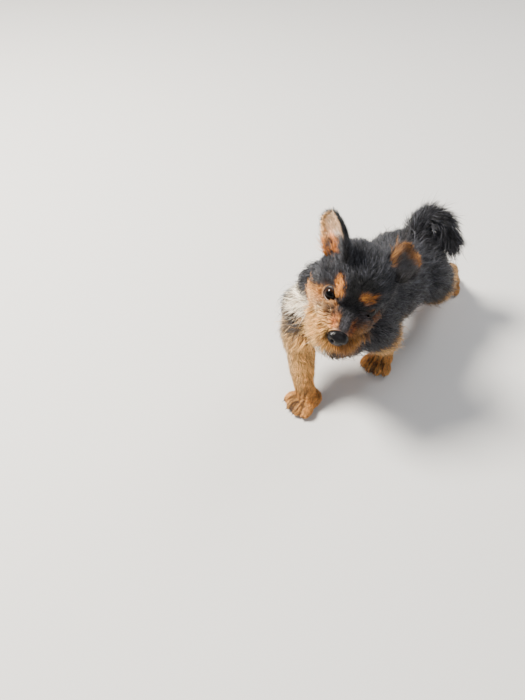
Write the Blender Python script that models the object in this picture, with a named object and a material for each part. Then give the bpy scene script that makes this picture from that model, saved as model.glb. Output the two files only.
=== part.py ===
"""A Yorkshire terrier puppy of about eight weeks, life size, scampering with its head turned to its left.

The puppy faces -Y, its left side is +X, and it stands on z = 0. Lengths are metres, and cm() takes points
in centimetres. Flesh is built from balls and tapered limbs that are melted together, then parted into head,
neck, torso, tail and legs by thin gaps. The coat is a solid core with flat, tapered locks over it. Points on
the head are given in its own frame, where x runs to the nose, y to the puppy's left and z to the crown.
"""

import math
import random

import bmesh
import bpy
from mathutils import Matrix, Vector
from mathutils.bvhtree import BVHTree


def cm(x, y, z):
    """A point given in centimetres, as a vector in metres."""
    return Vector((x, y, z)) * 0.01


# Gaps and fineness
GAP = 0.0003
BODY_VOXEL = 0.0016
HEAD_VOXEL = 0.0009
PAW_VOXEL = 0.0007
BODY_TRIANGLES = 1500
HEAD_TRIANGLES = 1000
PAW_TRIANGLES = 2000
PAW_SHARE_KEPT = 0.13

# Share of the coat's depth that the solid core takes up
CORE_SHARE = 0.4

# Head: place, turn to the left, nose down, and lean
HEAD_CENTRE = cm(0.45, -1.8, 11.5)
HEAD_YAW = math.radians(-65)
HEAD_PITCH = math.radians(-10)
HEAD_ROLL = math.radians(-24)
SKULL = (0.0238, 0.0234, 0.0228)
HEAD_COAT = 0.007
EYE_RADIUS = 0.0052
SOCKET_RADIUS = 0.0059
EYE_SEAT = (1.69, 1.36, -0.06)
EYE_GAZE = (0.82, 0.46, 0.32)
NOSE_SEAT = (4.10, 0.0, -1.00)
NOSE_SIZE = (0.0045, 0.0067, 0.0051)
EAR_SEATS = {-1: (-0.15, -1.80, 1.44), 1: (-0.50, 1.75, 1.65)}
# Length, width, the way the ear points and the way its cup faces, in the head's frame
EARS = {
    -1: (0.034, 0.021, Vector((-0.35, -0.63, 0.72)), Vector((0.68, -0.74, 0.02))),
    1: (0.028, 0.021, Vector((-0.88, 0.42, 0.10)), Vector((0.60, -0.05, 0.80))),
}
EAR_THICKNESS = 0.0016
EAR_CUP = math.radians(62)
# Lids: half width and half height of the opening, distance ahead of the eye's middle, and thickness
LID_ACROSS = 0.0048
LID_RISE = 0.0045
LID_AHEAD = 0.0022
LID_ROLL = 0.0006
UPPER_LID = 0.0010
LOWER_LID = 0.0008
# Ball that opens the fur in front of each eye
HOLLOW_AHEAD = 0.0066
HOLLOW_RADIUS = 0.0060
# Nostrils: place ahead of, beside and above the nose's middle in centimetres, their size and their turn
NOSTRIL_SEAT = (0.33, 0.19, -0.04)
NOSTRIL_RADII = (0.0016, 0.0008, 0.0011)
NOSTRIL_TURN = 0.5
# Line of the mouth in the head's frame, in centimetres: its middle, height, and how far in and out it is cut
MOUTH_MIDDLE = 2.1
MOUTH_HEIGHT = -1.60
MOUTH_INNER = (1.30, 0.72)
MOUTH_OUTER = (2.6, 1.5)
MOUTH_SPAN = 80
MOUTH_HALF = 0.0003

# Trunk: centre of each section, half width, half height of the flesh, and depth of the coat
TRUNK = (
    (cm(0.0, -1.5, 7.3), 0.0205, 0.0220, 0.009),
    (cm(0.0, 0.6, 7.3), 0.0240, 0.0260, 0.009),
    (cm(0.2, 3.4, 6.8), 0.0240, 0.0255, 0.008),
    (cm(0.3, 6.2, 6.4), 0.0220, 0.0225, 0.008),
    (cm(0.15, 8.4, 6.3), 0.0200, 0.0205, 0.008),
)
NECK_BASE = cm(0.05, 0.1, 8.3)
NECK_TOP = cm(0.25, -0.7, 10.6)
NECK_RADIUS = 0.0185
NECK_COAT = 0.009
# Long fur at the right of the neck and shoulder, which the turned head pushes out
RUFF_TOP = (cm(-1.4, -0.9, 8.9), 0.0105)
RUFF_FOOT = (cm(-2.95, -2.3, 7.3), 0.0115)
RUFF_LEG = "front_right"

# Tail: root, highest stretch and tip of its centre line, radius at root and tip, and coat
TAIL_LINE = (
    cm(0.0, 8.6, 7.0),
    cm(-0.2, 9.6, 8.5),
    cm(0.15, 10.2, 9.5),
    cm(1.2, 10.5, 9.5),
    cm(2.3, 10.4, 8.6),
)
TAIL_RADII = (0.0062, 0.0030)
TAIL_COAT = 0.005

# Legs: joints from the trunk down to the ball of the foot, and the flesh's radius at each
FORE_RADII = (0.0138, 0.0105, 0.0070, 0.0070)
HIND_RADII = (0.0175, 0.0115, 0.0062, 0.0066)
LEG_JOINTS = {
    "front_right": (cm(-2.1, -1.2, 7.6), cm(-2.7, -3.2, 5.2), cm(-1.0, -4.7, 2.1), cm(-0.4, -4.9, 0.9)),
    "front_left": (cm(1.6, -0.5, 7.1), cm(2.1, 1.2, 4.7), cm(2.1, 2.8, 1.9), cm(2.0, 2.4, 0.9)),
    "hind_right": (cm(-1.25, 8.0, 6.1), cm(-2.1, 10.6, 4.1), cm(-1.8, 14.3, 3.2), cm(-1.5, 16.4, 0.9)),
    "hind_left": (cm(1.55, 8.0, 6.1), cm(2.5, 9.9, 3.7), cm(2.4, 13.3, 3.1), cm(2.2, 14.9, 0.9)),
}
LEG_COATS = (0.008, 0.006, 0.003, 0.002)
# Turn of each foot about the vertical, outwards from straight ahead
TOE_OUT = {"front_right": -12, "front_left": 8, "hind_right": -10, "hind_left": 12}
PAW_WIDTH = 0.023
PAW_LENGTH = 0.025
PAW_HEIGHT = 0.012
TOES = 4
CLAW_LENGTH = 0.0045
CLAW_RADIUS = 0.0010
CLAW_DROP = 0.0022
CLAW_RISE = 0.0008
CLAW_TAPER = 0.75
CLAW_SIDES = 6
# How far out on a toe its claw starts, and the toe's own half length, width and height
CLAW_AHEAD = 0.0055
TOE_RADII = (0.0075, 0.0040, 0.0050)
TOE_FAN = 16
# Room between the full coat of a leg and the region that parts it off
SLEEVE_ROOM = 0.003

# Colours: black coat, tan legs, nose leather and eyes
BLACK = (0.016, 0.016, 0.019, 1.0)
TAN = (0.50, 0.23, 0.08, 1.0)
LEATHER = (0.012, 0.010, 0.010, 1.0)
IRIS = (0.020, 0.010, 0.006, 1.0)

UP = Vector((0, 0, 1))
HEAD = (
    Matrix.Translation(HEAD_CENTRE)
    @ Matrix.Rotation(HEAD_YAW, 4, "Z")
    @ Matrix.Rotation(-HEAD_PITCH, 4, "Y")
    @ Matrix.Rotation(HEAD_ROLL, 4, "X")
)


def on_head(x, y, z):
    """A point of the head's own frame, in centimetres, placed in the world."""
    return HEAD @ cm(x, y, z)


def clear_scene():
    for obj in list(bpy.data.objects):
        bpy.data.objects.remove(obj, do_unlink=True)


# Meshes

def object_of(bm, name):
    mesh = bpy.data.meshes.new(name)
    bm.to_mesh(mesh)
    bm.free()
    obj = bpy.data.objects.new(name, mesh)
    bpy.context.scene.collection.objects.link(obj)
    return obj


def drop(*objects):
    for obj in objects:
        bpy.data.objects.remove(obj, do_unlink=True)


def settle(obj):
    """Replaces the object's mesh by what its modifiers make of it."""
    bpy.context.view_layer.update()
    graph = bpy.context.evaluated_depsgraph_get()
    mesh = bpy.data.meshes.new_from_object(obj.evaluated_get(graph))
    obj.modifiers.clear()
    obj.data = mesh
    return obj


def add_ball(bm, centre, radii, turn=None):
    """A ball or an ellipsoid; radii may be one number or three."""
    if not isinstance(radii, tuple):
        radii = (radii, radii, radii)
    place = Matrix.Translation(centre) @ (turn.to_4x4() if turn else Matrix()) @ Matrix.Diagonal((*radii, 1))
    bmesh.ops.create_icosphere(bm, subdivisions=3, radius=1.0, matrix=place)


def hull_object(balls, name, grow=0.0, fineness=2):
    bm = bmesh.new()
    for centre, radius in balls:
        bmesh.ops.create_icosphere(
            bm, subdivisions=fineness, radius=radius + grow, matrix=Matrix.Translation(centre)
        )
    hull = bmesh.ops.convex_hull(bm, input=bm.verts, use_existing_faces=False)
    spare = hull["geom_interior"] + hull["geom_unused"]
    bmesh.ops.delete(bm, geom=[v for v in spare if isinstance(v, bmesh.types.BMVert)], context="VERTS")
    whole = bmesh.new()
    points = [whole.verts.new(v.co) for v in bm.verts]
    bm.free()
    bmesh.ops.convex_hull(whole, input=points, use_existing_faces=False)
    bmesh.ops.recalc_face_normals(whole, faces=whole.faces)
    return object_of(whole, name)


def add_limb(bm, points, radii):
    """A chain of tapered stretches through the points."""
    for start in range(len(points) - 1):
        add_capsule(bm, points[start], radii[start], points[start + 1], radii[start + 1])


def add_capsule(bm, a, radius_a, b, radius_b, sides=20, rings=5):
    """A closed tapered stretch with round ends."""
    axis = (b - a).normalized()
    turn = axis.to_track_quat("Z", "Y").to_matrix()
    profile = []
    for ring in range(1, rings + 1):
        angle = -math.pi / 2 + ring * math.pi / 2 / rings
        profile.append((a, radius_a * math.cos(angle), radius_a * math.sin(angle)))
    for ring in range(rings):
        angle = ring * math.pi / 2 / rings
        profile.append((b, radius_b * math.cos(angle), radius_b * math.sin(angle)))
    loops = []
    for centre, radius, along in profile:
        loop = []
        for side in range(sides):
            turn_angle = side * math.tau / sides
            offset = Vector((radius * math.cos(turn_angle), radius * math.sin(turn_angle), along))
            loop.append(bm.verts.new(centre + turn @ offset))
        loops.append(loop)
    for low, high in zip(loops, loops[1:]):
        for side in range(sides):
            after = (side + 1) % sides
            bm.faces.new((low[side], low[after], high[after], high[side]))
    first = bm.verts.new(a - axis * radius_a)
    last = bm.verts.new(b + axis * radius_b)
    for side in range(sides):
        after = (side + 1) % sides
        bm.faces.new((loops[0][after], loops[0][side], first))
        bm.faces.new((loops[-1][side], loops[-1][after], last))


def melted(bm, name, voxel, softness, triangles):
    """One smooth closed skin round all the forms in the mesh."""
    obj = object_of(bm, name)
    remesh = obj.modifiers.new("Melt", "REMESH")
    remesh.mode = "VOXEL"
    remesh.voxel_size = voxel
    smooth = obj.modifiers.new("Soften", "SMOOTH")
    smooth.factor = 0.5
    smooth.iterations = softness
    settle(obj)
    keep_largest(obj)
    thin = obj.modifiers.new("Thin", "DECIMATE")
    thin.ratio = min(1.0, triangles / max(1, 2 * len(obj.data.polygons)))
    thin.use_collapse_triangulate = True
    return settle(obj)


def keep_largest(obj):
    """Drops every closed surface but the one with the largest box."""
    bm = bmesh.new()
    bm.from_mesh(obj.data)
    bmesh.ops.triangulate(bm, faces=bm.faces)
    unseen = set(bm.faces)
    shells = []
    while unseen:
        shell = {unseen.pop()}
        front = list(shell)
        while front:
            here = front.pop()
            for face in [face for edge in here.edges for face in edge.link_faces]:
                if face in unseen:
                    unseen.discard(face)
                    shell.add(face)
                    front.append(face)
        shells.append(shell)
    if len(shells) > 1:
        shells.sort(key=spread, reverse=True)
        spare = [face for shell in shells[1:] for face in shell]
        bmesh.ops.delete(bm, geom=spare, context="FACES")
    bm.to_mesh(obj.data)
    bm.free()


def spread(faces):
    """Size of the box round the faces."""
    places = [vert.co for face in faces for vert in face.verts]
    return math.prod(max(p[axis] for p in places) - min(p[axis] for p in places) for axis in range(3))


def boolean(obj, cutter, operation, solver="EXACT"):
    cut = obj.modifiers.new("Cut", "BOOLEAN")
    cut.object = cutter
    cut.operation = operation
    cut.solver = solver
    settle(obj)
    drop(cutter)
    return obj


def copy_of(obj, name):
    twin = bpy.data.objects.new(name, obj.data.copy())
    bpy.context.scene.collection.objects.link(twin)
    return twin


def grown_copy(obj, grow):
    """A copy whose surface stands out by a small distance."""
    twin = copy_of(obj, "grown")
    normals = [vert.normal.copy() for vert in twin.data.vertices]
    for vert, normal in zip(twin.data.vertices, normals):
        vert.co += normal * grow
    return twin


# Regions that part the body into its nodes

class Side:
    """All that lies on one side of a plane."""

    def __init__(self, point, normal, reach=0.4):
        self.point = point
        self.normal = normal.normalized()
        self.reach = reach

    def solid(self, grow):
        bm = bmesh.new()
        turn = self.normal.to_track_quat("Z", "Y").to_matrix().to_4x4()
        middle = self.point + self.normal * (self.reach / 2 - grow)
        bmesh.ops.create_cube(bm, size=self.reach, matrix=Matrix.Translation(middle) @ turn)
        return object_of(bm, "region")


class Sleeve:
    """The tight skin round balls that follow a limb."""

    def __init__(self, *balls):
        self.balls = balls

    def solid(self, grow):
        return hull_object(self.balls, "region", grow)


def part_off(rest, name, regions):
    """Cuts the piece inside all the regions from the rest, leaving the gap between them."""
    piece = copy_of(rest, name)
    for region in regions:
        boolean(piece, region.solid(0.0), "INTERSECT", "MANIFOLD")
    around = regions[0].solid(GAP)
    for region in regions[1:]:
        boolean(around, region.solid(GAP), "INTERSECT", "MANIFOLD")
    boolean(rest, around, "DIFFERENCE", "MANIFOLD")
    keep_largest(piece)
    keep_largest(rest)
    return piece


# Forms of the body, each grown by its share of the coat

def add_trunk(bm, share):
    for centre, half_width, half_height, coat in TRUNK:
        grown = share * coat
        add_ball(bm, centre, (half_width + grown, 0.026 + grown, half_height + grown))
    for (a, wide_a, high_a, coat_a), (b, wide_b, high_b, coat_b) in zip(TRUNK, TRUNK[1:]):
        middle = (a + b) / 2
        wide = (wide_a + wide_b) / 2 + share * coat_a
        high = (high_a + high_b) / 2 + share * coat_b
        add_ball(bm, middle, (wide, 0.022, high))


def add_neck(bm, share):
    grown = NECK_RADIUS + share * NECK_COAT
    add_capsule(bm, NECK_BASE, grown + 0.002, NECK_TOP, grown)


def add_ruff(bm, share):
    (top, top_radius), (foot, foot_radius) = RUFF_TOP, RUFF_FOOT
    add_capsule(bm, top, top_radius + share * NECK_COAT, foot, foot_radius + share * NECK_COAT)


def add_skull(bm, share):
    turn = HEAD.to_3x3()
    coat = share * HEAD_COAT
    add_ball(bm, on_head(0, 0, 0), tuple(size + coat for size in SKULL), turn)


def add_face(bm, share):
    """Cheeks, brows, muzzle, lips and jaw."""
    turn = HEAD.to_3x3()
    coat = share * HEAD_COAT
    face_coat = coat * 0.45
    for side in (-1, 1):
        cheek = (0.0135 + coat, 0.0115 + coat, 0.0120 + coat)
        brow = (0.0062 + face_coat, 0.0070 + face_coat, 0.0055)
        lip = (0.0108, 0.0064 + face_coat, 0.0058 + face_coat)
        add_ball(bm, on_head(0.75, side * 1.35, -0.95), cheek, turn)
        add_ball(bm, on_head(1.75, side * 0.82, 0.45), brow, turn)
        add_ball(bm, on_head(2.80, side * 0.62, -1.24), lip, turn)
    add_capsule(bm, on_head(1.5, 0, -0.62), 0.0130, on_head(3.55, 0, -1.00), 0.0076 + face_coat)
    add_capsule(bm, on_head(0.9, 0, -1.50), 0.0100 + coat, on_head(3.05, 0, -1.72), 0.0055 + coat)


def add_tail(bm, share):
    points = smooth_line(TAIL_LINE, 12)
    count = len(points) - 1
    grown = share * TAIL_COAT
    radii = [
        TAIL_RADII[0] + (TAIL_RADII[1] - TAIL_RADII[0]) * step / count + grown for step in range(count + 1)
    ]
    add_limb(bm, points, radii)


def smooth_line(points, steps):
    """Points along a smooth curve through the given ones."""
    padded = [points[0] * 2 - points[1], *points, points[-1] * 2 - points[-2]]
    spans = len(points) - 1
    line = []
    for step in range(steps + 1):
        place = min(step * spans / steps, spans - 1e-6)
        span = int(place)
        t = place - span
        before, start, end, after = padded[span : span + 4]
        slope = (end - before) * t
        bow = (before * 2 - start * 5 + end * 4 - after) * t**2
        turn = (start * 3 - before - end * 3 + after) * t**3
        line.append((start * 2 + slope + bow + turn) / 2)
    return line


def leg_radii(leg, share):
    flesh = FORE_RADII if leg.startswith("front") else HIND_RADII
    return [radius + share * coat for radius, coat in zip(flesh, LEG_COATS)]


def add_leg(bm, leg, share):
    add_limb(bm, LEG_JOINTS[leg], leg_radii(leg, share))


def foot_frame(leg):
    """The foot's frame on the floor: x ahead to the toes, y to the puppy's left."""
    ball = LEG_JOINTS[leg][3]
    heading = Matrix.Rotation(math.radians(-90 + TOE_OUT[leg]), 4, "Z")
    return Matrix.Translation((ball.x, ball.y, 0)) @ heading


def toe_places(leg):
    """Middle, direction and size share of each toe, the two inner ones longest."""
    frame = foot_frame(leg)
    for toe in range(TOES):
        across = (toe - (TOES - 1) / 2) / ((TOES - 1) / 2)
        fan = math.radians(TOE_FAN * across)
        ahead = PAW_LENGTH * (0.40 - 0.10 * across**2)
        middle = frame @ Vector((ahead, across * PAW_WIDTH * 0.36, PAW_HEIGHT * 0.36))
        yield middle, frame.to_3x3() @ Matrix.Rotation(fan, 3, "Z"), 1.0 - 0.1 * across**2


def add_paw(bm, leg):
    frame = foot_frame(leg)
    turn = frame.to_3x3()
    pad = frame @ Vector((-PAW_LENGTH * 0.08, 0, PAW_HEIGHT * 0.42))
    add_ball(bm, pad, (PAW_LENGTH * 0.42, PAW_WIDTH * 0.42, PAW_HEIGHT * 0.56), turn)
    for middle, toe_turn, size in toe_places(leg):
        add_ball(bm, middle, (TOE_RADII[0] * size, TOE_RADII[1], TOE_RADII[2]), toe_turn)


def claws_of(leg):
    """Short curved cones at the toes' tips."""
    for middle, toe_turn, size in toe_places(leg):
        ahead = toe_turn @ Vector((1, 0, 0))
        root = middle + ahead * CLAW_AHEAD * size + UP * CLAW_RISE
        bm = bmesh.new()
        loops = []
        for share in (0.0, 0.5, 1.0):
            centre = root + ahead * CLAW_LENGTH * share - UP * CLAW_DROP * share**2
            radius = CLAW_RADIUS * (1 - CLAW_TAPER * share)
            loop = []
            for side in range(CLAW_SIDES):
                angle = side * math.tau / CLAW_SIDES
                offset = toe_turn @ Vector((0, math.cos(angle) * radius, math.sin(angle) * radius))
                loop.append(bm.verts.new(centre + offset))
            loops.append(loop)
        for low, high in zip(loops, loops[1:]):
            for side in range(CLAW_SIDES):
                after = (side + 1) % CLAW_SIDES
                bm.faces.new((low[side], low[after], high[after], high[side]))
        bm.faces.new(loops[0][::-1])
        bm.faces.new(loops[-1])
        bmesh.ops.recalc_face_normals(bm, faces=bm.faces)
        yield object_of(bm, "claw")


# Regions, worked out from the joints

FORWARD = Vector((math.cos(HEAD_YAW), math.sin(HEAD_YAW), 0))
HEAD_SIDE = Side(HEAD_CENTRE - FORWARD * 0.009 - UP * 0.018, FORWARD * 0.61 + UP * 0.79)
NECK_SIDE = Side(cm(0, 1.6, 9.7), Vector((0, -0.37, 0.93)))
TAIL_SIDE = Side(cm(-0.12, 9.3, 8.0), Vector((0.0, 0.50, 0.86)), 0.12)
TAIL_SLEEVE = Sleeve((TAIL_LINE[1], 0.016), (TAIL_LINE[2], 0.017), (TAIL_LINE[4], 0.013))


def bend_side(leg, joint, lower=True):
    """The side of a joint's bisecting plane that holds the leg below it."""
    above, here, below = LEG_JOINTS[leg][joint - 1 : joint + 2]
    normal = (here - above).normalized() + (below - here).normalized()
    return Side(here, normal if lower else -normal)


def leg_sleeve(leg, first, last):
    radii = leg_radii(leg, 1.0)
    balls = [(LEG_JOINTS[leg][joint], radii[joint] + SLEEVE_ROOM) for joint in range(first, last + 1)]
    if leg == RUFF_LEG and first == 0:
        balls.append((RUFF_FOOT[0], RUFF_FOOT[1] + NECK_COAT))
    return Sleeve(*balls)


# Small head forms

def eye_place(side):
    x, y, z = EYE_SEAT
    return on_head(x, side * y, z)


def gaze(side):
    x, y, z = EYE_GAZE
    return (HEAD.to_3x3() @ Vector((x, side * y, z))).normalized()


def eye(side, name, radius, fineness):
    bm = bmesh.new()
    place = Matrix.Translation(eye_place(side))
    bmesh.ops.create_icosphere(bm, subdivisions=fineness, radius=radius, matrix=place)
    return object_of(bm, name)


def lid(side, upper):
    """A rolled lid over half of the eye's opening."""
    outward = gaze(side)
    across = outward.cross(HEAD.to_3x3() @ Vector((0, 0, 1))).normalized()
    rise = across.cross(outward).normalized()
    thick = UPPER_LID if upper else LOWER_LID
    way = 1 if upper else -1
    steps = 6
    points = []
    radii = []
    for step in range(steps + 1):
        angle = math.pi * (step / steps * 1.06 - 0.03)
        ring = across * math.cos(angle) * LID_ACROSS + rise * math.sin(angle) * way * LID_RISE
        points.append(eye_place(side) + outward * (LID_AHEAD + LID_ROLL * math.sin(angle)) + ring)
        radii.append(thick * (0.55 + 0.45 * math.sin(angle)))
    return swept(points, radii, 5, "lid")


def swept(points, radii, sides, name):
    """A closed tube along points."""
    bm = bmesh.new()
    loops = []
    for index, (point, radius) in enumerate(zip(points, radii)):
        before = points[max(index - 1, 0)]
        after = points[min(index + 1, len(points) - 1)]
        turn = (after - before).to_track_quat("Z", "Y").to_matrix()
        loops.append(
            [
                bm.verts.new(point + turn @ Vector((math.cos(a) * radius, math.sin(a) * radius, 0)))
                for a in (side * math.tau / sides for side in range(sides))
            ]
        )
    for low, high in zip(loops, loops[1:]):
        start = min(range(sides), key=lambda k: (high[k].co - low[0].co).length)
        high[:] = high[start:] + high[:start]
        for side in range(sides):
            after = (side + 1) % sides
            bm.faces.new((low[side], low[after], high[after], high[side]))
    bm.faces.new(loops[0][::-1])
    bm.faces.new(loops[-1])
    bmesh.ops.recalc_face_normals(bm, faces=bm.faces)
    return object_of(bm, name)


def mouth_cut():
    """A thin curved slot that draws the line of the mouth round the muzzle."""
    bm = bmesh.new()
    steps = 12
    rings = []
    for step in range(steps + 1):
        angle = math.radians(MOUTH_SPAN * (2 * step / steps - 1))
        height = MOUTH_HEIGHT - 0.10 * math.cos(angle) - 0.12 * abs(math.sin(angle))
        inner = (MOUTH_MIDDLE + MOUTH_INNER[0] * math.cos(angle), MOUTH_INNER[1] * math.sin(angle))
        outer = (MOUTH_MIDDLE + MOUTH_OUTER[0] * math.cos(angle), MOUTH_OUTER[1] * math.sin(angle))
        lift = HEAD.to_3x3() @ Vector((0, 0, MOUTH_HALF))
        corners = [on_head(*inner, height) - lift, on_head(*outer, height) - lift]
        corners += [on_head(*outer, height) + lift, on_head(*inner, height) + lift]
        rings.append([bm.verts.new(corner) for corner in corners])
    for low, high in zip(rings, rings[1:]):
        for side in range(4):
            after = (side + 1) % 4
            bm.faces.new((low[side], low[after], high[after], high[side]))
    bm.faces.new(rings[0][::-1])
    bm.faces.new(rings[-1])
    bmesh.ops.recalc_face_normals(bm, faces=bm.faces)
    return object_of(bm, "mouth")


def nose_form(grow, name):
    bm = bmesh.new()
    turn = HEAD.to_3x3()
    x, y, z = NOSE_SEAT
    add_ball(bm, on_head(x, y, z), tuple(size + grow for size in NOSE_SIZE), turn)
    return object_of(bm, name)


def make_nose():
    nose = nose_form(0.0, "nose")
    thin = nose.modifiers.new("Thin", "DECIMATE")
    thin.ratio = 0.3
    settle(nose)
    for side in (-1, 1):
        bm = bmesh.new()
        ahead, beside, above = NOSTRIL_SEAT
        place = on_head(NOSE_SEAT[0] + ahead, side * beside, NOSE_SEAT[2] + above)
        turn = HEAD.to_3x3() @ Matrix.Rotation(side * NOSTRIL_TURN, 3, "Z")
        bmesh.ops.create_icosphere(
            bm,
            subdivisions=2,
            radius=1.0,
            matrix=Matrix.Translation(place) @ turn.to_4x4() @ Matrix.Diagonal((*NOSTRIL_RADII, 1)),
        )
        boolean(nose, object_of(bm, "nostril"), "DIFFERENCE")
    return nose


def make_head(head):
    """Eye sockets, lids, nose seat and mouth on the parted head."""
    for side in (-1, 1):
        bm = bmesh.new()
        opening = eye_place(side) + gaze(side) * HOLLOW_AHEAD
        place = Matrix.Translation(opening)
        bmesh.ops.create_icosphere(bm, subdivisions=2, radius=HOLLOW_RADIUS, matrix=place)
        boolean(head, object_of(bm, "hollow"), "DIFFERENCE", "MANIFOLD")
        for upper in (True, False):
            boolean(head, lid(side, upper), "UNION", "MANIFOLD")
        boolean(head, eye(side, "socket", SOCKET_RADIUS, 2), "DIFFERENCE", "MANIFOLD")
    seat = nose_form(2 * GAP, "seat")
    thin = seat.modifiers.new("Thin", "DECIMATE")
    thin.ratio = 0.3
    settle(seat)
    boolean(head, seat, "DIFFERENCE", "MANIFOLD")
    boolean(head, mouth_cut(), "DIFFERENCE", "MANIFOLD")
    keep_largest(head)
    return head


# Ears

def ear_frame(side):
    """Root, and the ear's own axes: out of the head, across it, and the way its cup faces."""
    turn = HEAD.to_3x3()
    rise = (turn @ EARS[side][2]).normalized()
    face = turn @ EARS[side][3]
    face = (face - rise * face.dot(rise)).normalized()
    across = rise.cross(face).normalized()
    return on_head(*EAR_SEATS[side]), rise, across, face


def make_ear(side, name, scrap, clear_of_head):
    """A cupped leaf with a folded tip, joined to a plug of the head."""
    root, rise, across, face = ear_frame(side)
    length, width = EARS[side][:2]
    rows, columns = 7, 6
    bm = bmesh.new()
    sheets = []
    for back in (0, 1):
        sheet = []
        for row in range(rows + 1):
            along = row / rows
            half = width / 2 * ear_width_share(along)
            line = []
            for column in range(columns + 1):
                share = column / columns * 2 - 1
                cup = EAR_CUP * (1 - 0.45 * along)
                bend = cup * share
                place = root + rise * length * (along - 0.12) + across * math.sin(bend) / math.sin(cup) * half
                place += face * (1 - math.cos(bend)) * half / math.sin(cup)
                place += face * length * 0.16 * max(0.0, along - 0.55) ** 1.5
                thick = EAR_THICKNESS * (1 - 0.45 * along) * (1 - 0.35 * share**2)
                line.append(bm.verts.new(place - face * thick * back))
            sheet.append(line)
        sheets.append(sheet)
    front, rear = sheets
    for row in range(rows):
        for column in range(columns):
            corners = ((row, column), (row, column + 1), (row + 1, column + 1), (row + 1, column))
            for first, second, third in ((0, 1, 2), (0, 2, 3)):
                bm.faces.new([front[r][c] for r, c in (corners[first], corners[second], corners[third])])
                bm.faces.new([rear[r][c] for r, c in (corners[third], corners[second], corners[first])])
    rim = [(0, column) for column in range(columns)]
    rim += [(row, columns) for row in range(rows)]
    rim += [(rows, column) for column in range(columns, 0, -1)]
    rim += [(row, 0) for row in range(rows, 0, -1)]
    for (row, column), (next_row, next_column) in zip(rim, rim[1:] + rim[:1]):
        bm.faces.new(
            (front[row][column], rear[row][column], rear[next_row][next_column], front[next_row][next_column])
        )
    bmesh.ops.recalc_face_normals(bm, faces=bm.faces)
    leaf = object_of(bm, "leaf")
    boolean(leaf, clear_of_head, "DIFFERENCE", "MANIFOLD")
    boolean(scrap, leaf, "UNION", "MANIFOLD")
    scrap.name = name
    keep_largest(scrap)
    return scrap


def ear_width_share(along):
    """Width of the ear from root to tip: widest a third up, round at the tip."""
    if along < 0.35:
        return 0.74 + 0.26 * math.sin(along / 0.35 * math.pi / 2)
    return max(0.10, math.sqrt(max(0.0, 1 - ((along - 0.35) / 0.66) ** 2.4)))


def ear_seat_sleeve(side):
    root, rise, across, face = ear_frame(side)
    return Sleeve((root - across * 0.004, 0.0080), (root + across * 0.004, 0.0080))


# Locks of the coat

class Style:
    """Size of a node's locks: how far apart, how long and wide, and how far the tips stand off the skin."""

    def __init__(self, apart, length, width, height):
        self.apart = apart
        self.length = length
        self.width = width
        self.height = height


STYLES = {
    "head": Style(0.0098, 0.0152, 0.0098, 0.0040),
    "neck": Style(0.0090, 0.0200, 0.0110, 0.0048),
    "torso": Style(0.0126, 0.0255, 0.0142, 0.0050),
    "tail": Style(0.0098, 0.0190, 0.0090, 0.0036),
    "upper": Style(0.0138, 0.0220, 0.0130, 0.0042),
    "lower": Style(0.0135, 0.0160, 0.0085, 0.0024),
}
LOCK_THICKNESS = 0.0016
LOCK_SINK = 0.0014
LOCK_STEPS = 3
LOCK_SHORTEST = 0.45
LOCK_SHRINK = 0.8
SEAM_MARGIN = 0.0012
SEED = 7
# Spread of the locks' way, length, width, height and sideways bend
LOCK_TURN = 0.22
LENGTH_SPREAD = (0.85, 1.2)
WIDTH_SPREAD = (0.85, 1.15)
HEIGHT_SPREAD = (0.9, 1.15)
BEND_SPREAD = 0.5
BODY_LIE = Vector((0.0, 1.0, -0.55))
# Where locks stop on the face: metres from the eyes and the nose, centimetres in the head's frame
EYE_CLEARANCE = 0.0085
NOSE_CLEARANCE = 0.0072
MUZZLE_FROM = 1.7
BRIDGE_FROM = -0.62
MUZZLE_LOCK_SHARE = 0.72


def style_of(name):
    """The node's style of lock, or none where the fur is short."""
    for ending in ("upper", "lower"):
        if name.endswith(ending):
            return STYLES[ending]
    return STYLES.get(name)


def head_lie(place):
    """Back over the crown, back and down on the cheeks, out and down at the beard."""
    x, y, z = (HEAD.inverted() @ place) * 100
    side = 1 if y > 0 else -1
    if x > MUZZLE_FROM and z < -0.4:
        way = Vector((-0.25, side * 0.60, -0.80))
    elif z < -0.1:
        way = Vector((-0.70, side * 0.40, -0.55))
    else:
        way = Vector((-1.0, y * 0.15, 0.20))
    return HEAD.to_3x3() @ way


def lie_of(name, place):
    """The way that the coat lies at a place on a node."""
    if name == "head":
        return head_lie(place)
    if name == "tail":
        line = smooth_line(TAIL_LINE, 12)
        nearest = min(range(len(line) - 1), key=lambda k: (line[k] - place).length)
        return (line[nearest + 1] - line[nearest]).normalized()
    for leg, joints in LEG_JOINTS.items():
        if name == leg + "_upper":
            return (joints[1] - joints[0]).normalized() + Vector((0, 0.5, 0))
        if name == leg + "_lower":
            return (joints[2] - joints[1]).normalized() + Vector((0, 0.3, 0))
    return BODY_LIE


def lock_scale(name, place):
    """Share of a lock's full size: none at the eyes and nose and on the bridge, small on the muzzle."""
    if name != "head":
        return 1.0
    if min((place - eye_place(side)).length for side in (-1, 1)) < EYE_CLEARANCE:
        return 0.0
    if (place - on_head(*NOSE_SEAT)).length < NOSE_CLEARANCE:
        return 0.0
    x, y, z = (HEAD.inverted() @ place) * 100
    if x > MUZZLE_FROM:
        return 0.0 if z > BRIDGE_FROM else MUZZLE_LOCK_SHARE
    return 1.0


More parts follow.
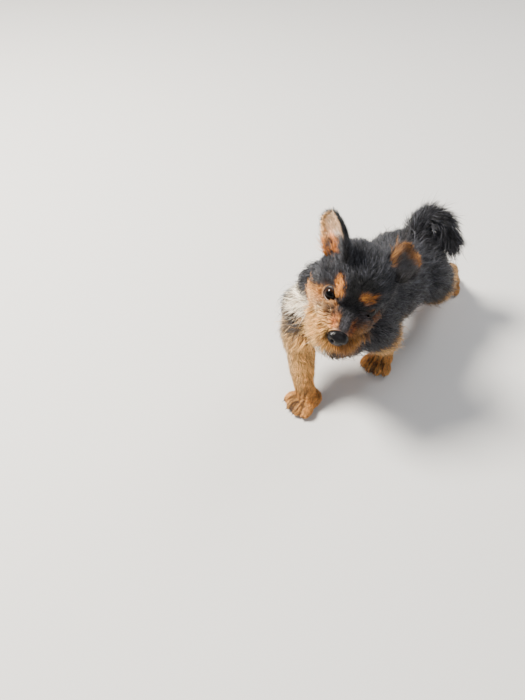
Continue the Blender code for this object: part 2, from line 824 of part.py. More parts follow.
def lock_form(skin, root, out, lie, length, width, height, bend, grow):
    """Points and faces of a flat lock that rises from the skin, follows it and ends in a point."""
    points = []
    foot = root
    for step in range(LOCK_STEPS + 1):
        share = step / LOCK_STEPS
        lie = (lie - out * lie.dot(out)).normalized()
        across = lie.cross(out)
        rise = (height + LOCK_SINK) * (1 - (1 - share) ** 1.7) - LOCK_SINK
        centre = foot + out * rise
        if step == LOCK_STEPS:
            points.append(centre + lie * grow)
        else:
            half = width / 2 * (0.85 + 0.6 * share - 1.1 * share**2) + 2 * grow
            points.append(centre + across * half - out * grow)
            points.append(centre + out * (LOCK_THICKNESS * (1 - 0.3 * share) + grow))
            points.append(centre - across * half - out * grow)
        foot = foot + (lie + across * bend * share).normalized() * (length / LOCK_STEPS)
        foot, normal = skin.find_nearest(foot)[:2]
        out = (out + normal).normalized()
    faces = [(2, 1, 0)]
    for step in range(LOCK_STEPS - 1):
        low, high = 3 * step, 3 * step + 3
        for corner in range(3):
            after = (corner + 1) % 3
            faces.append((low + corner, low + after, high + after, high + corner))
    last = 3 * (LOCK_STEPS - 1)
    for corner in range(3):
        faces.append((last + corner, last + (corner + 1) % 3, last + 3))
    return points, faces


def tree_of(obj):
    return BVHTree.FromPolygons(
        [vert.co for vert in obj.data.vertices], [tuple(face.vertices) for face in obj.data.polygons]
    )


def roots_on(obj, apart, others, draw):
    """Places spread over the node's outer faces, no two closer than apart, and off its seams."""
    obj.data.calc_loop_triangles()
    corners = obj.data.vertices
    triangles = [[corners[index].co for index in tri.vertices] for tri in obj.data.loop_triangles]
    areas = [(b - a).cross(c - a).length / 2 for a, b, c in triangles]
    found = []
    for place in draw.choices(range(len(triangles)), areas, k=int(30 * sum(areas) / apart**2)):
        a, b, c = triangles[place]
        u, v = sorted((draw.random(), draw.random()))
        root = a * u + b * (v - u) + c * (1 - v)
        scale = lock_scale(obj.name, root)
        if scale == 0.0 or any((root - other).length < apart * scale for other, out in found):
            continue
        if any(tree.find_nearest(root, SEAM_MARGIN)[0] for tree in others):
            continue
        found.append((root, (b - a).cross(c - a).normalized()))
    return found


def locks_on(name, nodes, skin, trees):
    """The node's locks, each shortened or left out where it would meet another node or the floor."""
    style = style_of(name)
    draw = random.Random(SEED + len(name))
    others = [tree for other, tree in trees.items() if other != name]
    locks = []
    for root, out in roots_on(nodes[name], style.apart, others, draw):
        scale = lock_scale(name, root)
        lie = lie_of(name, root)
        lie = Matrix.Rotation(draw.uniform(-LOCK_TURN, LOCK_TURN), 3, out) @ lie
        length = style.length * draw.uniform(*LENGTH_SPREAD) * scale
        width = style.width * draw.uniform(*WIDTH_SPREAD) * scale
        height = style.height * draw.uniform(*HEIGHT_SPREAD) * scale
        bend = draw.uniform(-BEND_SPREAD, BEND_SPREAD)
        shortest = length * LOCK_SHORTEST
        while length > shortest:
            points, faces = lock_form(skin, root, out, lie, length, width, height, bend, GAP)
            around = BVHTree.FromPolygons(points, faces)
            if min(point.z for point in points) > GAP and not any(around.overlap(tree) for tree in others):
                points, faces = lock_form(skin, root, out, lie, length, width, height, bend, 0.0)
                locks.append(solid_of(points, faces, "lock"))
                break
            length *= LOCK_SHRINK
            width *= LOCK_SHRINK
    return locks


def solid_of(points, faces, name):
    bm = bmesh.new()
    corners = [bm.verts.new(point) for point in points]
    for face in faces:
        bm.faces.new([corners[index] for index in face])
    bmesh.ops.recalc_face_normals(bm, faces=bm.faces)
    return object_of(bm, name)


def fuse(obj, pieces):
    """Joins all the pieces to the object in one union."""
    group = bpy.data.collections.new("pieces")
    for piece in pieces:
        group.objects.link(piece)
    join = obj.modifiers.new("Join", "BOOLEAN")
    join.operand_type = "COLLECTION"
    join.collection = group
    join.operation = "UNION"
    join.solver = "MANIFOLD"
    settle(obj)
    drop(*pieces)
    bpy.data.collections.remove(group)
    keep_largest(obj)


def grow_coat(nodes, body_skin, head_skin):
    """Sets locks on every node that has a longer coat, from the head back and down."""
    trees = {name: tree_of(obj) for name, obj in nodes.items()}
    for name in nodes_by_lie(nodes):
        skin = head_skin if name == "head" else body_skin
        locks = locks_on(name, nodes, skin, trees)
        if locks:
            fuse(nodes[name], locks)
            trees[name] = tree_of(nodes[name])


def nodes_by_lie(nodes):
    """Nodes with locks, those whose locks lie over the next ones first."""
    order = ["head", "neck", "torso", "tail"]
    order += [name for name in nodes if name.endswith("upper")]
    order += [name for name in nodes if name.endswith("lower")]
    return order


# Materials

def finish(obj, colour, roughness):
    material = bpy.data.materials.new(obj.name)
    material.use_nodes = True
    shader = material.node_tree.nodes["Principled BSDF"]
    shader.inputs["Base Color"].default_value = colour
    shader.inputs["Roughness"].default_value = roughness
    shader.inputs["Metallic"].default_value = 0.0
    material.diffuse_color = colour
    obj.data.materials.clear()
    obj.data.materials.append(material)


def make_body(share):
    """The trunk with neck, head, tail and legs as one skin, parted into nodes."""
    bm = bmesh.new()
    add_trunk(bm, share)
    add_neck(bm, share)
    add_ruff(bm, share)
    add_skull(bm, share)
    add_tail(bm, share)
    for leg in LEG_JOINTS:
        add_leg(bm, leg, share)
    rest = melted(bm, "torso", BODY_VOXEL, 6, BODY_TRIANGLES)
    skin = tree_of(rest)
    nodes = {}
    drop(part_off(rest, "spare", [HEAD_SIDE]))
    nodes["neck"] = part_off(rest, "neck", [NECK_SIDE])
    nodes["tail"] = part_off(rest, "tail", [TAIL_SIDE, TAIL_SLEEVE])
    for leg in LEG_JOINTS:
        low = leg_sleeve(leg, 1, 3)
        nodes["spare_" + leg] = part_off(rest, "spare_" + leg, [bend_side(leg, 2), low])
        nodes[leg + "_lower"] = part_off(rest, leg + "_lower", [bend_side(leg, 1), low])
        nodes[leg + "_upper"] = part_off(rest, leg + "_upper", [leg_sleeve(leg, 0, 1)])
        drop(nodes.pop("spare_" + leg))
    nodes["torso"] = rest
    return nodes, skin


def make_paws(share):
    nodes = {}
    for leg in LEG_JOINTS:
        bm = bmesh.new()
        joints = LEG_JOINTS[leg]
        radii = leg_radii(leg, share)
        add_limb(bm, joints[1:4], radii[1:4])
        add_paw(bm, leg)
        paw = melted(bm, "paw_" + leg, PAW_VOXEL, 3, PAW_TRIANGLES)
        boolean(paw, bend_side(leg, 2).solid(-GAP / 2), "INTERSECT", "MANIFOLD")
        boolean(paw, Side(Vector((0, 0, 0)), UP).solid(0.0), "INTERSECT", "MANIFOLD")
        thin = paw.modifiers.new("Thin", "DECIMATE")
        thin.ratio = PAW_SHARE_KEPT
        settle(paw)
        for claw in claws_of(leg):
            boolean(paw, claw, "UNION", "MANIFOLD")
        boolean(paw, Side(Vector((0, 0, 0)), UP).solid(0.0), "INTERSECT", "MANIFOLD")
        keep_largest(paw)
        nodes["paw_" + leg] = paw
    return nodes


def main():
    clear_scene()
    nodes, body_skin = make_body(CORE_SHARE)
    nodes.update(make_paws(CORE_SHARE))
    bm = bmesh.new()
    add_neck(bm, CORE_SHARE)
    add_skull(bm, CORE_SHARE)
    add_face(bm, CORE_SHARE)
    head = melted(bm, "head", HEAD_VOXEL, 4, HEAD_TRIANGLES)
    head_skin = tree_of(head)
    boolean(head, HEAD_SIDE.solid(0.0), "INTERSECT", "MANIFOLD")
    for side, name in ((-1, "ear_right"), (1, "ear_left")):
        clear_of_head = grown_copy(head, 2 * GAP)
        boolean(clear_of_head, ear_seat_sleeve(side).solid(-GAP), "DIFFERENCE", "MANIFOLD")
        plug = part_off(head, name, [ear_seat_sleeve(side)])
        nodes[name] = make_ear(side, name, plug, clear_of_head)
    nodes["head"] = make_head(head)
    nodes["nose"] = make_nose()
    nodes["eye_right"] = eye(-1, "eye_right", EYE_RADIUS, 3)
    nodes["eye_left"] = eye(1, "eye_left", EYE_RADIUS, 3)
    grow_coat(nodes, body_skin, head_skin)
    for name, obj in nodes.items():
        obj.name = name
        colour, roughness = BLACK, 0.6
        if "lower" in name or "paw" in name:
            colour = TAN
        if name == "nose":
            colour, roughness = LEATHER, 0.3
        if name.startswith("eye"):
            colour, roughness = IRIS, 0.08
        finish(obj, colour, roughness)
        obj.data.shade_smooth()
    stand_on_floor(nodes)


def stand_on_floor(nodes):
    """Moves the puppy so that the middle of its box is over the origin and its feet are on z = 0."""
    corners = [vert.co for obj in nodes.values() for vert in obj.data.vertices]
    lowest = [min(corner[axis] for corner in corners) for axis in range(3)]
    highest = [max(corner[axis] for corner in corners) for axis in range(3)]
    shift = Vector((-(lowest[0] + highest[0]) / 2, -(lowest[1] + highest[1]) / 2, -lowest[2]))
    for obj in nodes.values():
        obj.data.transform(Matrix.Translation(shift))


main()
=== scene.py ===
"""Looks of the Yorkshire terrier puppy: one skin with eyes, nose, ears and claws, and a coat of mesh tufts.

Shapes are made in the frame of the puppy's own source, in metres, where it faces -Y and its left side is +X,
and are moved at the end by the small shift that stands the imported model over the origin. Points on the head
are given in its own frame, in centimetres, where x runs to the nose, y to the puppy's left and z to the crown.
"""

import math

import bmesh
import bpy
import numpy as np
from mathutils import Matrix, Vector
from mathutils.bvhtree import BVHTree
from mathutils.kdtree import KDTree


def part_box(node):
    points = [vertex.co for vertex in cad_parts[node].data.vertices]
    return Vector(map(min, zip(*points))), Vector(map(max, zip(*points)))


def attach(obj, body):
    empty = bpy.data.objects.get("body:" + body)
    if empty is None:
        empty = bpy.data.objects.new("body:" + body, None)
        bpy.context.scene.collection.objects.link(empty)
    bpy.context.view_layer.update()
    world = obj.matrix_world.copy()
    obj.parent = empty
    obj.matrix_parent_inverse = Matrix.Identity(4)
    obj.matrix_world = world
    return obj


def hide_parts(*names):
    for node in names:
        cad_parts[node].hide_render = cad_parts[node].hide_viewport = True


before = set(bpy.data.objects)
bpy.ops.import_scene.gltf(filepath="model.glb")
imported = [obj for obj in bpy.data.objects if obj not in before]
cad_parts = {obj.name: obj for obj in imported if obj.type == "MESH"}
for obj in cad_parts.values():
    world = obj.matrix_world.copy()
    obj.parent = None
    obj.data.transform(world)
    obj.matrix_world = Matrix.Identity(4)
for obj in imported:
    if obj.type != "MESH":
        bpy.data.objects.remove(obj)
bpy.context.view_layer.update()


def cm(x, y, z):
    """A point given in centimetres, as a vector in metres."""
    return Vector((x, y, z)) * 0.01


# Forms, with the same named sizes as the source of the solids

HEAD_CENTRE = cm(0.45, -1.8, 11.5)
HEAD_YAW = math.radians(-65)
HEAD_PITCH = math.radians(-10)
HEAD_ROLL = math.radians(-24)
SKULL = (0.0238, 0.0234, 0.0228)
EYE_SEAT = (1.69, 1.36, -0.06)
EYE_GAZE = (0.82, 0.46, 0.32)
EYE_RADIUS = 0.0052
NOSE_SEAT = (4.10, 0.0, -1.00)
NOSE_SIZE = (0.0045, 0.0067, 0.0051)
NOSE_FULLNESS = (1.14, 1.08, 1.26)
EAR_SEATS = {-1: (-0.15, -1.80, 1.44), 1: (-0.50, 1.75, 1.65)}
EARS = {
    -1: (0.034, 0.021, Vector((-0.35, -0.63, 0.72)), Vector((0.68, -0.74, 0.02))),
    1: (0.028, 0.021, Vector((-0.88, 0.42, 0.10)), Vector((0.60, -0.05, 0.80))),
}
EAR_THICKNESS = 0.0013
EAR_CUP = math.radians(62)
EAR_LIT = -1
MOUTH_MIDDLE = 2.1
MOUTH_HEIGHT = -1.60
TRUNK = (
    (cm(0.0, -1.5, 7.3), 0.0205, 0.0220),
    (cm(0.0, 0.6, 7.3), 0.0240, 0.0260),
    (cm(0.2, 3.4, 6.8), 0.0240, 0.0255),
    (cm(0.3, 6.2, 6.4), 0.0220, 0.0225),
    (cm(0.15, 8.4, 6.3), 0.0200, 0.0205),
)
NECK_BASE = cm(0.05, 0.1, 8.3)
NECK_TOP = cm(0.25, -0.7, 10.6)
NECK_RADIUS = 0.0185
RUFF_TOP = (cm(-1.4, -0.9, 8.9), 0.0105)
RUFF_FOOT = (cm(-2.95, -2.3, 7.3), 0.0115)
MANE_TOP = (cm(-0.9, -1.0, 10.8), 0.0095)
MANE_FOOT = (cm(-2.35, -1.6, 9.4), 0.0095)
TAIL_LINE = (cm(0.0, 8.6, 7.0), cm(-0.2, 9.6, 8.5), cm(0.15, 10.2, 9.5), cm(1.2, 10.5, 9.5), cm(2.3, 10.4, 8.6))
TAIL_RADII = (0.0062, 0.0030)
TAIL_FALL = np.array((0.15, -0.25, -1.1))
FORE_RADII = (0.0138, 0.0105, 0.0070, 0.0070)
HIND_RADII = (0.0175, 0.0115, 0.0062, 0.0066)
LEG_JOINTS = {
    "front_right": (cm(-2.1, -1.2, 7.6), cm(-2.7, -3.2, 5.2), cm(-1.0, -4.7, 2.1), cm(-0.4, -4.9, 0.9)),
    "front_left": (cm(1.6, -0.5, 7.1), cm(2.1, 1.2, 4.7), cm(2.1, 2.8, 1.9), cm(2.0, 2.4, 0.9)),
    "hind_right": (cm(-1.25, 8.0, 6.1), cm(-2.1, 10.6, 4.1), cm(-1.8, 14.3, 3.2), cm(-1.5, 16.4, 0.9)),
    "hind_left": (cm(1.55, 8.0, 6.1), cm(2.5, 9.9, 3.7), cm(2.4, 13.3, 3.1), cm(2.2, 14.9, 0.9)),
}
TOE_OUT = {"front_right": -12, "front_left": 8, "hind_right": -10, "hind_left": 12}
PAW_WIDTH = 0.023
PAW_LENGTH = 0.025
PAW_HEIGHT = 0.012
TOES = 4
CLAW_LENGTH = 0.0045

SKIN_VOXEL = 0.0008
SKIN_SOFTNESS = 7

HEAD = (
    Matrix.Translation(HEAD_CENTRE)
    @ Matrix.Rotation(HEAD_YAW, 4, "Z")
    @ Matrix.Rotation(-HEAD_PITCH, 4, "Y")
    @ Matrix.Rotation(HEAD_ROLL, 4, "X")
)
HEAD_TURN = HEAD.to_3x3()
HEAD_AXES = np.array(HEAD_TURN)


def on_head(x, y, z):
    return HEAD @ cm(x, y, z)


def eye_place(side):
    x, y, z = EYE_SEAT
    return on_head(x, side * y, z)


def middle_of(node):
    low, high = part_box(node)
    return (low + high) / 2


SHIFT = middle_of("eye_right") - eye_place(-1)

# Camera at the photo's place: pitched down, with the puppy's heading turned to the picture's left

CAMERA_PLACE = Vector((0.12041, -0.25876, 0.353))
CAMERA_PITCH = math.radians(50)
CAMERA_TURN = math.radians(39)
PICTURE_HEIGHT = 700
FOCAL_PIXELS = 526
SENSOR = 36.0


def make_camera():
    data = bpy.data.cameras.new("camera")
    data.sensor_width = SENSOR
    data.lens = SENSOR * FOCAL_PIXELS / PICTURE_HEIGHT
    data.clip_start = 0.01
    camera = bpy.data.objects.new("camera", data)
    bpy.context.scene.collection.objects.link(camera)
    level = math.cos(CAMERA_PITCH)
    back = Vector((math.sin(CAMERA_TURN) * level, -math.cos(CAMERA_TURN) * level, math.sin(CAMERA_PITCH)))
    camera.rotation_euler = back.to_track_quat("Z", "Y").to_euler()
    camera.location = CAMERA_PLACE + SHIFT
    bpy.context.scene.camera = camera


make_camera()

# Mesh helpers


def object_of(bm, name):
    mesh = bpy.data.meshes.new(name)
    bm.to_mesh(mesh)
    bm.free()
    obj = bpy.data.objects.new(name, mesh)
    bpy.context.scene.collection.objects.link(obj)
    return obj


def settle(obj):
    """Replaces the object's mesh by what its modifiers make of it."""
    bpy.context.view_layer.update()
    graph = bpy.context.evaluated_depsgraph_get()
    mesh = bpy.data.meshes.new_from_object(obj.evaluated_get(graph))
    obj.modifiers.clear()
    obj.data = mesh
    return obj


def add_ball(bm, centre, radii, turn=None):
    if not isinstance(radii, tuple):
        radii = (radii, radii, radii)
    place = Matrix.Translation(centre) @ (turn.to_4x4() if turn else Matrix()) @ Matrix.Diagonal((*radii, 1))
    bmesh.ops.create_icosphere(bm, subdivisions=4, radius=1.0, matrix=place)


def add_tube(bm, profile, turn, ends, sides):
    """Rings of (centre, radius, along) closed by a point at each end."""
    loops = []
    for centre, radius, along in profile:
        loop = []
        for side in range(sides):
            angle = side * math.tau / sides
            offset = Vector((radius * math.cos(angle), radius * math.sin(angle), along))
            loop.append(bm.verts.new(centre + turn @ offset))
        loops.append(loop)
    first, last = bm.verts.new(ends[0]), bm.verts.new(ends[1])
    for side in range(sides):
        after = (side + 1) % sides
        for low, high in zip(loops, loops[1:]):
            bm.faces.new((low[side], low[after], high[after], high[side]))
        bm.faces.new((loops[0][after], loops[0][side], first))
        bm.faces.new((loops[-1][side], loops[-1][after], last))


def add_capsule(bm, a, radius_a, b, radius_b, sides=28, rings=7):
    """A closed tapered stretch with round ends."""
    axis = (b - a).normalized()
    turn = axis.to_track_quat("Z", "Y").to_matrix()
    profile = []
    for ring in range(1, rings + 1):
        angle = -math.pi / 2 + ring * math.pi / 2 / rings
        profile.append((a, radius_a * math.cos(angle), radius_a * math.sin(angle)))
    for ring in range(rings):
        angle = ring * math.pi / 2 / rings
        profile.append((b, radius_b * math.cos(angle), radius_b * math.sin(angle)))
    add_tube(bm, profile, turn, (a - axis * radius_a, b + axis * radius_b), sides)


def add_limb(bm, points, radii):
    for start in range(len(points) - 1):
        add_capsule(bm, points[start], radii[start], points[start + 1], radii[start + 1])


def smooth_line(points, steps):
    """Points along a smooth curve through the given ones."""
    padded = [points[0] * 2 - points[1], *points, points[-1] * 2 - points[-2]]
    spans = len(points) - 1
    line = []
    for step in range(steps + 1):
        place = min(step * spans / steps, spans - 1e-6)
        span = int(place)
        t = place - span
        before, start, end, after = padded[span : span + 4]
        slope = (end - before) * t
        bow = (before * 2 - start * 5 + end * 4 - after) * t**2
        turn = (start * 3 - before - end * 3 + after) * t**3
        line.append((start * 2 + slope + bow + turn) / 2)
    return line


def cut(obj, cutter, operation="DIFFERENCE"):
    change = obj.modifiers.new("Cut", "BOOLEAN")
    change.object = cutter
    change.operation = operation
    change.solver = "MANIFOLD"
    settle(obj)
    bpy.data.objects.remove(cutter, do_unlink=True)


def numbers(points):
    return np.array([tuple(point) for point in points], float)


def corners_of(mesh):
    places = np.zeros(len(mesh.vertices) * 3)
    mesh.vertices.foreach_get("co", places)
    return places.reshape(-1, 3)


# The skin

TAIL_POINTS = smooth_line(TAIL_LINE, 12)


def tail_radius(step):
    return TAIL_RADII[0] + (TAIL_RADII[1] - TAIL_RADII[0]) * step / (len(TAIL_POINTS) - 1)


def add_trunk(bm):
    for centre, half_width, half_height in TRUNK:
        add_ball(bm, centre, (half_width, 0.026, half_height))
    for (a, wide_a, high_a), (b, wide_b, high_b) in zip(TRUNK, TRUNK[1:]):
        add_ball(bm, (a + b) / 2, ((wide_a + wide_b) / 2, 0.022, (high_a + high_b) / 2))


def add_head(bm):
    """Skull, cheeks, brows, muzzle, lips and jaw."""
    add_ball(bm, on_head(0, 0, 0), SKULL, HEAD_TURN)
    for side in (-1, 1):
        add_ball(bm, on_head(0.75, side * 1.35, -0.95), (0.0135, 0.0115, 0.0120), HEAD_TURN)
        add_ball(bm, on_head(1.75, side * 0.82, 0.45), (0.0062, 0.0070, 0.0055), HEAD_TURN)
        add_ball(bm, on_head(2.80, side * 0.62, -1.24), (0.0108, 0.0064, 0.0058), HEAD_TURN)
        add_ball(bm, on_head(1.95, side * 1.20, -0.80), (0.0105, 0.0075, 0.0072), HEAD_TURN)
    add_capsule(bm, on_head(1.5, 0, -0.62), 0.0130, on_head(3.55, 0, -1.00), 0.0076)
    add_capsule(bm, on_head(0.9, 0, -1.50), 0.0100, on_head(3.05, 0, -1.72), 0.0055)


def foot_frame(leg):
    """The foot's frame on the floor: x ahead to the toes, y to the puppy's left."""
    ball = LEG_JOINTS[leg][3]
    heading = Matrix.Rotation(math.radians(-90 + TOE_OUT[leg]), 4, "Z")
    return Matrix.Translation((ball.x, ball.y, 0)) @ heading


def toe_places(leg):
    """Middle, direction and size share of each toe, the two inner ones longest."""
    place = foot_frame(leg)
    for toe in range(TOES):
        across = (toe - (TOES - 1) / 2) / ((TOES - 1) / 2)
        fan = math.radians(16 * across)
        ahead = PAW_LENGTH * (0.40 - 0.10 * across**2)
        middle = place @ Vector((ahead, across * PAW_WIDTH * 0.36, PAW_HEIGHT * 0.36))
        yield middle, place.to_3x3() @ Matrix.Rotation(fan, 3, "Z"), 1.0 - 0.1 * across**2


def add_paw(bm, leg):
    place = foot_frame(leg)
    pad = place @ Vector((-PAW_LENGTH * 0.08, 0, PAW_HEIGHT * 0.42))
    add_ball(bm, pad, (PAW_LENGTH * 0.42, PAW_WIDTH * 0.42, PAW_HEIGHT * 0.56), place.to_3x3())
    for middle, toe_turn, size in toe_places(leg):
        add_ball(bm, middle, (0.0075 * size, 0.0040, 0.0050), toe_turn)


def gaze(side):
    x, y, z = EYE_GAZE
    return (HEAD_TURN @ Vector((x, side * y, z))).normalized()


def ball_object(centre, radius, name="cutter"):
    bm = bmesh.new()
    bmesh.ops.create_icosphere(bm, subdivisions=4, radius=radius, matrix=Matrix.Translation(centre))
    return object_of(bm, name)


def mouth_cut():
    """A thin curved slot that draws the line of the mouth round the muzzle."""
    bm = bmesh.new()
    steps = 40
    rings = []
    lift = HEAD_TURN @ Vector((0, 0, 0.0004))
    for step in range(steps + 1):
        angle = math.radians(-80 + 160 * step / steps)
        height = MOUTH_HEIGHT - 0.10 * math.cos(angle) - 0.12 * abs(math.sin(angle))
        inner = (MOUTH_MIDDLE + 1.15 * math.cos(angle), 0.62 * math.sin(angle))
        outer = (MOUTH_MIDDLE + 2.6 * math.cos(angle), 1.5 * math.sin(angle))
        corners = [on_head(*inner, height) - lift, on_head(*outer, height) - lift]
        corners += [on_head(*outer, height) + lift, on_head(*inner, height) + lift]
        rings.append([bm.verts.new(corner) for corner in corners])
    for low, high in zip(rings, rings[1:]):
        for side in range(4):
            after = (side + 1) % 4
            bm.faces.new((low[side], low[after], high[after], high[side]))
    bm.faces.new(rings[0][::-1])
    bm.faces.new(rings[-1])
    bmesh.ops.recalc_face_normals(bm, faces=bm.faces)
    return object_of(bm, "mouth")


def make_skin():
    """All the forms of flesh as one closed skin, with sockets for the eyes and the line of the mouth."""
    bm = bmesh.new()
    add_trunk(bm)
    add_capsule(bm, NECK_BASE, NECK_RADIUS + 0.002, NECK_TOP, NECK_RADIUS)
    add_capsule(bm, *RUFF_TOP, *RUFF_FOOT)
    add_capsule(bm, *MANE_TOP, *MANE_FOOT)
    add_head(bm)
    add_limb(bm, TAIL_POINTS, [tail_radius(step) for step in range(len(TAIL_POINTS))])
    for leg, joints in LEG_JOINTS.items():
        add_limb(bm, joints, FORE_RADII if leg.startswith("front") else HIND_RADII)
        add_paw(bm, leg)
    skin = object_of(bm, "skin")
    remesh = skin.modifiers.new("Melt", "REMESH")
    remesh.mode = "VOXEL"
    remesh.voxel_size = SKIN_VOXEL
    smooth = skin.modifiers.new("Soften", "SMOOTH")
    smooth.factor = 0.5
    smooth.iterations = SKIN_SOFTNESS
    settle(skin)
    for side in (-1, 1):
        cut(skin, ball_object(eye_place(side) + gaze(side) * 0.0066, 0.0058))
        cut(skin, ball_object(eye_place(side), EYE_RADIUS + 0.0002))
    cut(skin, mouth_cut())
    bm = bmesh.new()
    bmesh.ops.create_cube(bm, size=0.6, matrix=Matrix.Translation((0, 0, 0.3 + 0.0002)))
    cut(skin, object_of(bm, "floor_side"), "INTERSECT")
    return skin


# Arrays of places: fields over the body that skin and coat share


def unit(vectors):
    return vectors / np.maximum(np.linalg.norm(vectors, axis=-1, keepdims=True), 1e-9)


def dot(a, b):
    return (a * b).sum(-1, keepdims=True)


def ramp(value, soft):
    """Rises from 0 to 1 where the value passes zero, over about four times soft."""
    return 1 / (1 + np.exp(-np.clip(value / soft, -30, 30)))


def blob(places, centre, radii):
    return np.exp(-(((places - np.array(centre)) / np.array(radii)) ** 2).sum(-1))


def mixed(colour, other, share):
    return colour + (np.array(other) - colour) * np.clip(share, 0, 1)[:, None]


def waves(places, size, seed):
    """Smooth variation from about -1 to 1 over stretches of the given size."""
    draw = np.random.default_rng(seed)
    total = np.zeros(len(places))
    for _ in range(7):
        way = draw.normal(size=3)
        way /= np.linalg.norm(way)
        total += np.sin(places @ way * (math.tau / size * draw.uniform(0.6, 1.6)) + draw.uniform(0, math.tau))
    return total / 3.2


def head_places(places):
    """Places in the head's own frame, in centimetres."""
    return (places - np.array(HEAD_CENTRE)) @ HEAD_AXES * 100


def stretch(places, a, b, radius_a, radius_b):
    """Distance from a tapered stretch, and the share along it."""
    a, b = np.array(a), np.array(b)
    along = np.clip((places - a) @ (b - a) / ((b - a) @ (b - a)), 0, 1)
    centre = a + along[:, None] * (b - a)
    return np.linalg.norm(places - centre, axis=1) - (radius_a + (radius_b - radius_a) * along), along


def chain(places, points, radii):
    """Distance from a chain of tapered stretches, and the place along it in stretches."""
    best, where = None, None
    for index, (a, b) in enumerate(zip(points, points[1:])):
        far, along = stretch(places, a, b, radii[index], radii[index + 1])
        if best is None:
            best, where = far, along.copy()
        else:
            closer = far < best
            where[closer] = index + along[closer]
            best = np.minimum(best, far)
    return best, where


# Palette, as linear colours

BLACK = (0.0055, 0.0055, 0.0070)
SMOKE = (0.0145, 0.0150, 0.0185)
RUST = (0.47, 0.150, 0.030)
ORANGE = (0.64, 0.220, 0.038)
TAN = (0.76, 0.345, 0.090)
SAND = (0.88, 0.500, 0.180)
CREAM = (0.92, 0.650, 0.360)
WHITE = (0.92, 0.820, 0.660)
PINK = (0.66, 0.290, 0.185)
SOOT = (0.040, 0.032, 0.030)
GOLD = (0.82, 0.370, 0.075)
RUST_LIGHT = (0.76, 0.260, 0.070)
HONEY = (0.98, 0.590, 0.215)

# Markings of the head, in its own centimetres on the fur's outer face: the height of the tan's upper edge and
# the half width of the dark stripe, each against the place from the back to the nose, and the two brow spots

TAN_HEIGHT = ((0.2, 0.73, 1.5, 1.75, 1.95, 2.3), (-0.80, -0.42, -0.12, 0.35, 0.72, 0.90))
STRIPE_WIDTH = ((2.3, 2.6, 2.75, 2.95, 3.3, 3.73, 4.2), (1.15, 1.08, 1.04, 0.76, 0.57, 0.60, 0.64))
BROWS = {
    -1: ((1.58, 1.70, 1.42), (2.34, 1.36, 0.98)),
    1: ((2.22, 0.42, 1.42), (1.98, 1.05, 1.48)),
}

# Coat of each form: length of the hair and how far its tips stand off the skin, metres,
# half width of a tuft, tufts for each square millimetre


class Coat:
    def __init__(self, length, lift, half, dense):
        self.row = np.array([length, lift, half, dense])


COATS = {
    "head": Coat(0.0120, 0.0062, 0.00023, 2.3),
    "neck": Coat(0.0155, 0.0085, 0.00027, 1.6),
    "ruff": Coat(0.0175, 0.0085, 0.00026, 2.0),
    "mane": Coat(0.0165, 0.0085, 0.00025, 2.0),
    "torso": Coat(0.0160, 0.0080, 0.00030, 1.25),
    "tail": Coat(0.0155, 0.0052, 0.00025, 3.0),
    "upper": Coat(0.0135, 0.0070, 0.00027, 1.5),
    "lower": Coat(0.0062, 0.0028, 0.00019, 2.6),
    "paw": Coat(0.0034, 0.0012, 0.00015, 3.2),
}
BLEND = 0.004
HAIR_RISE = 0.004


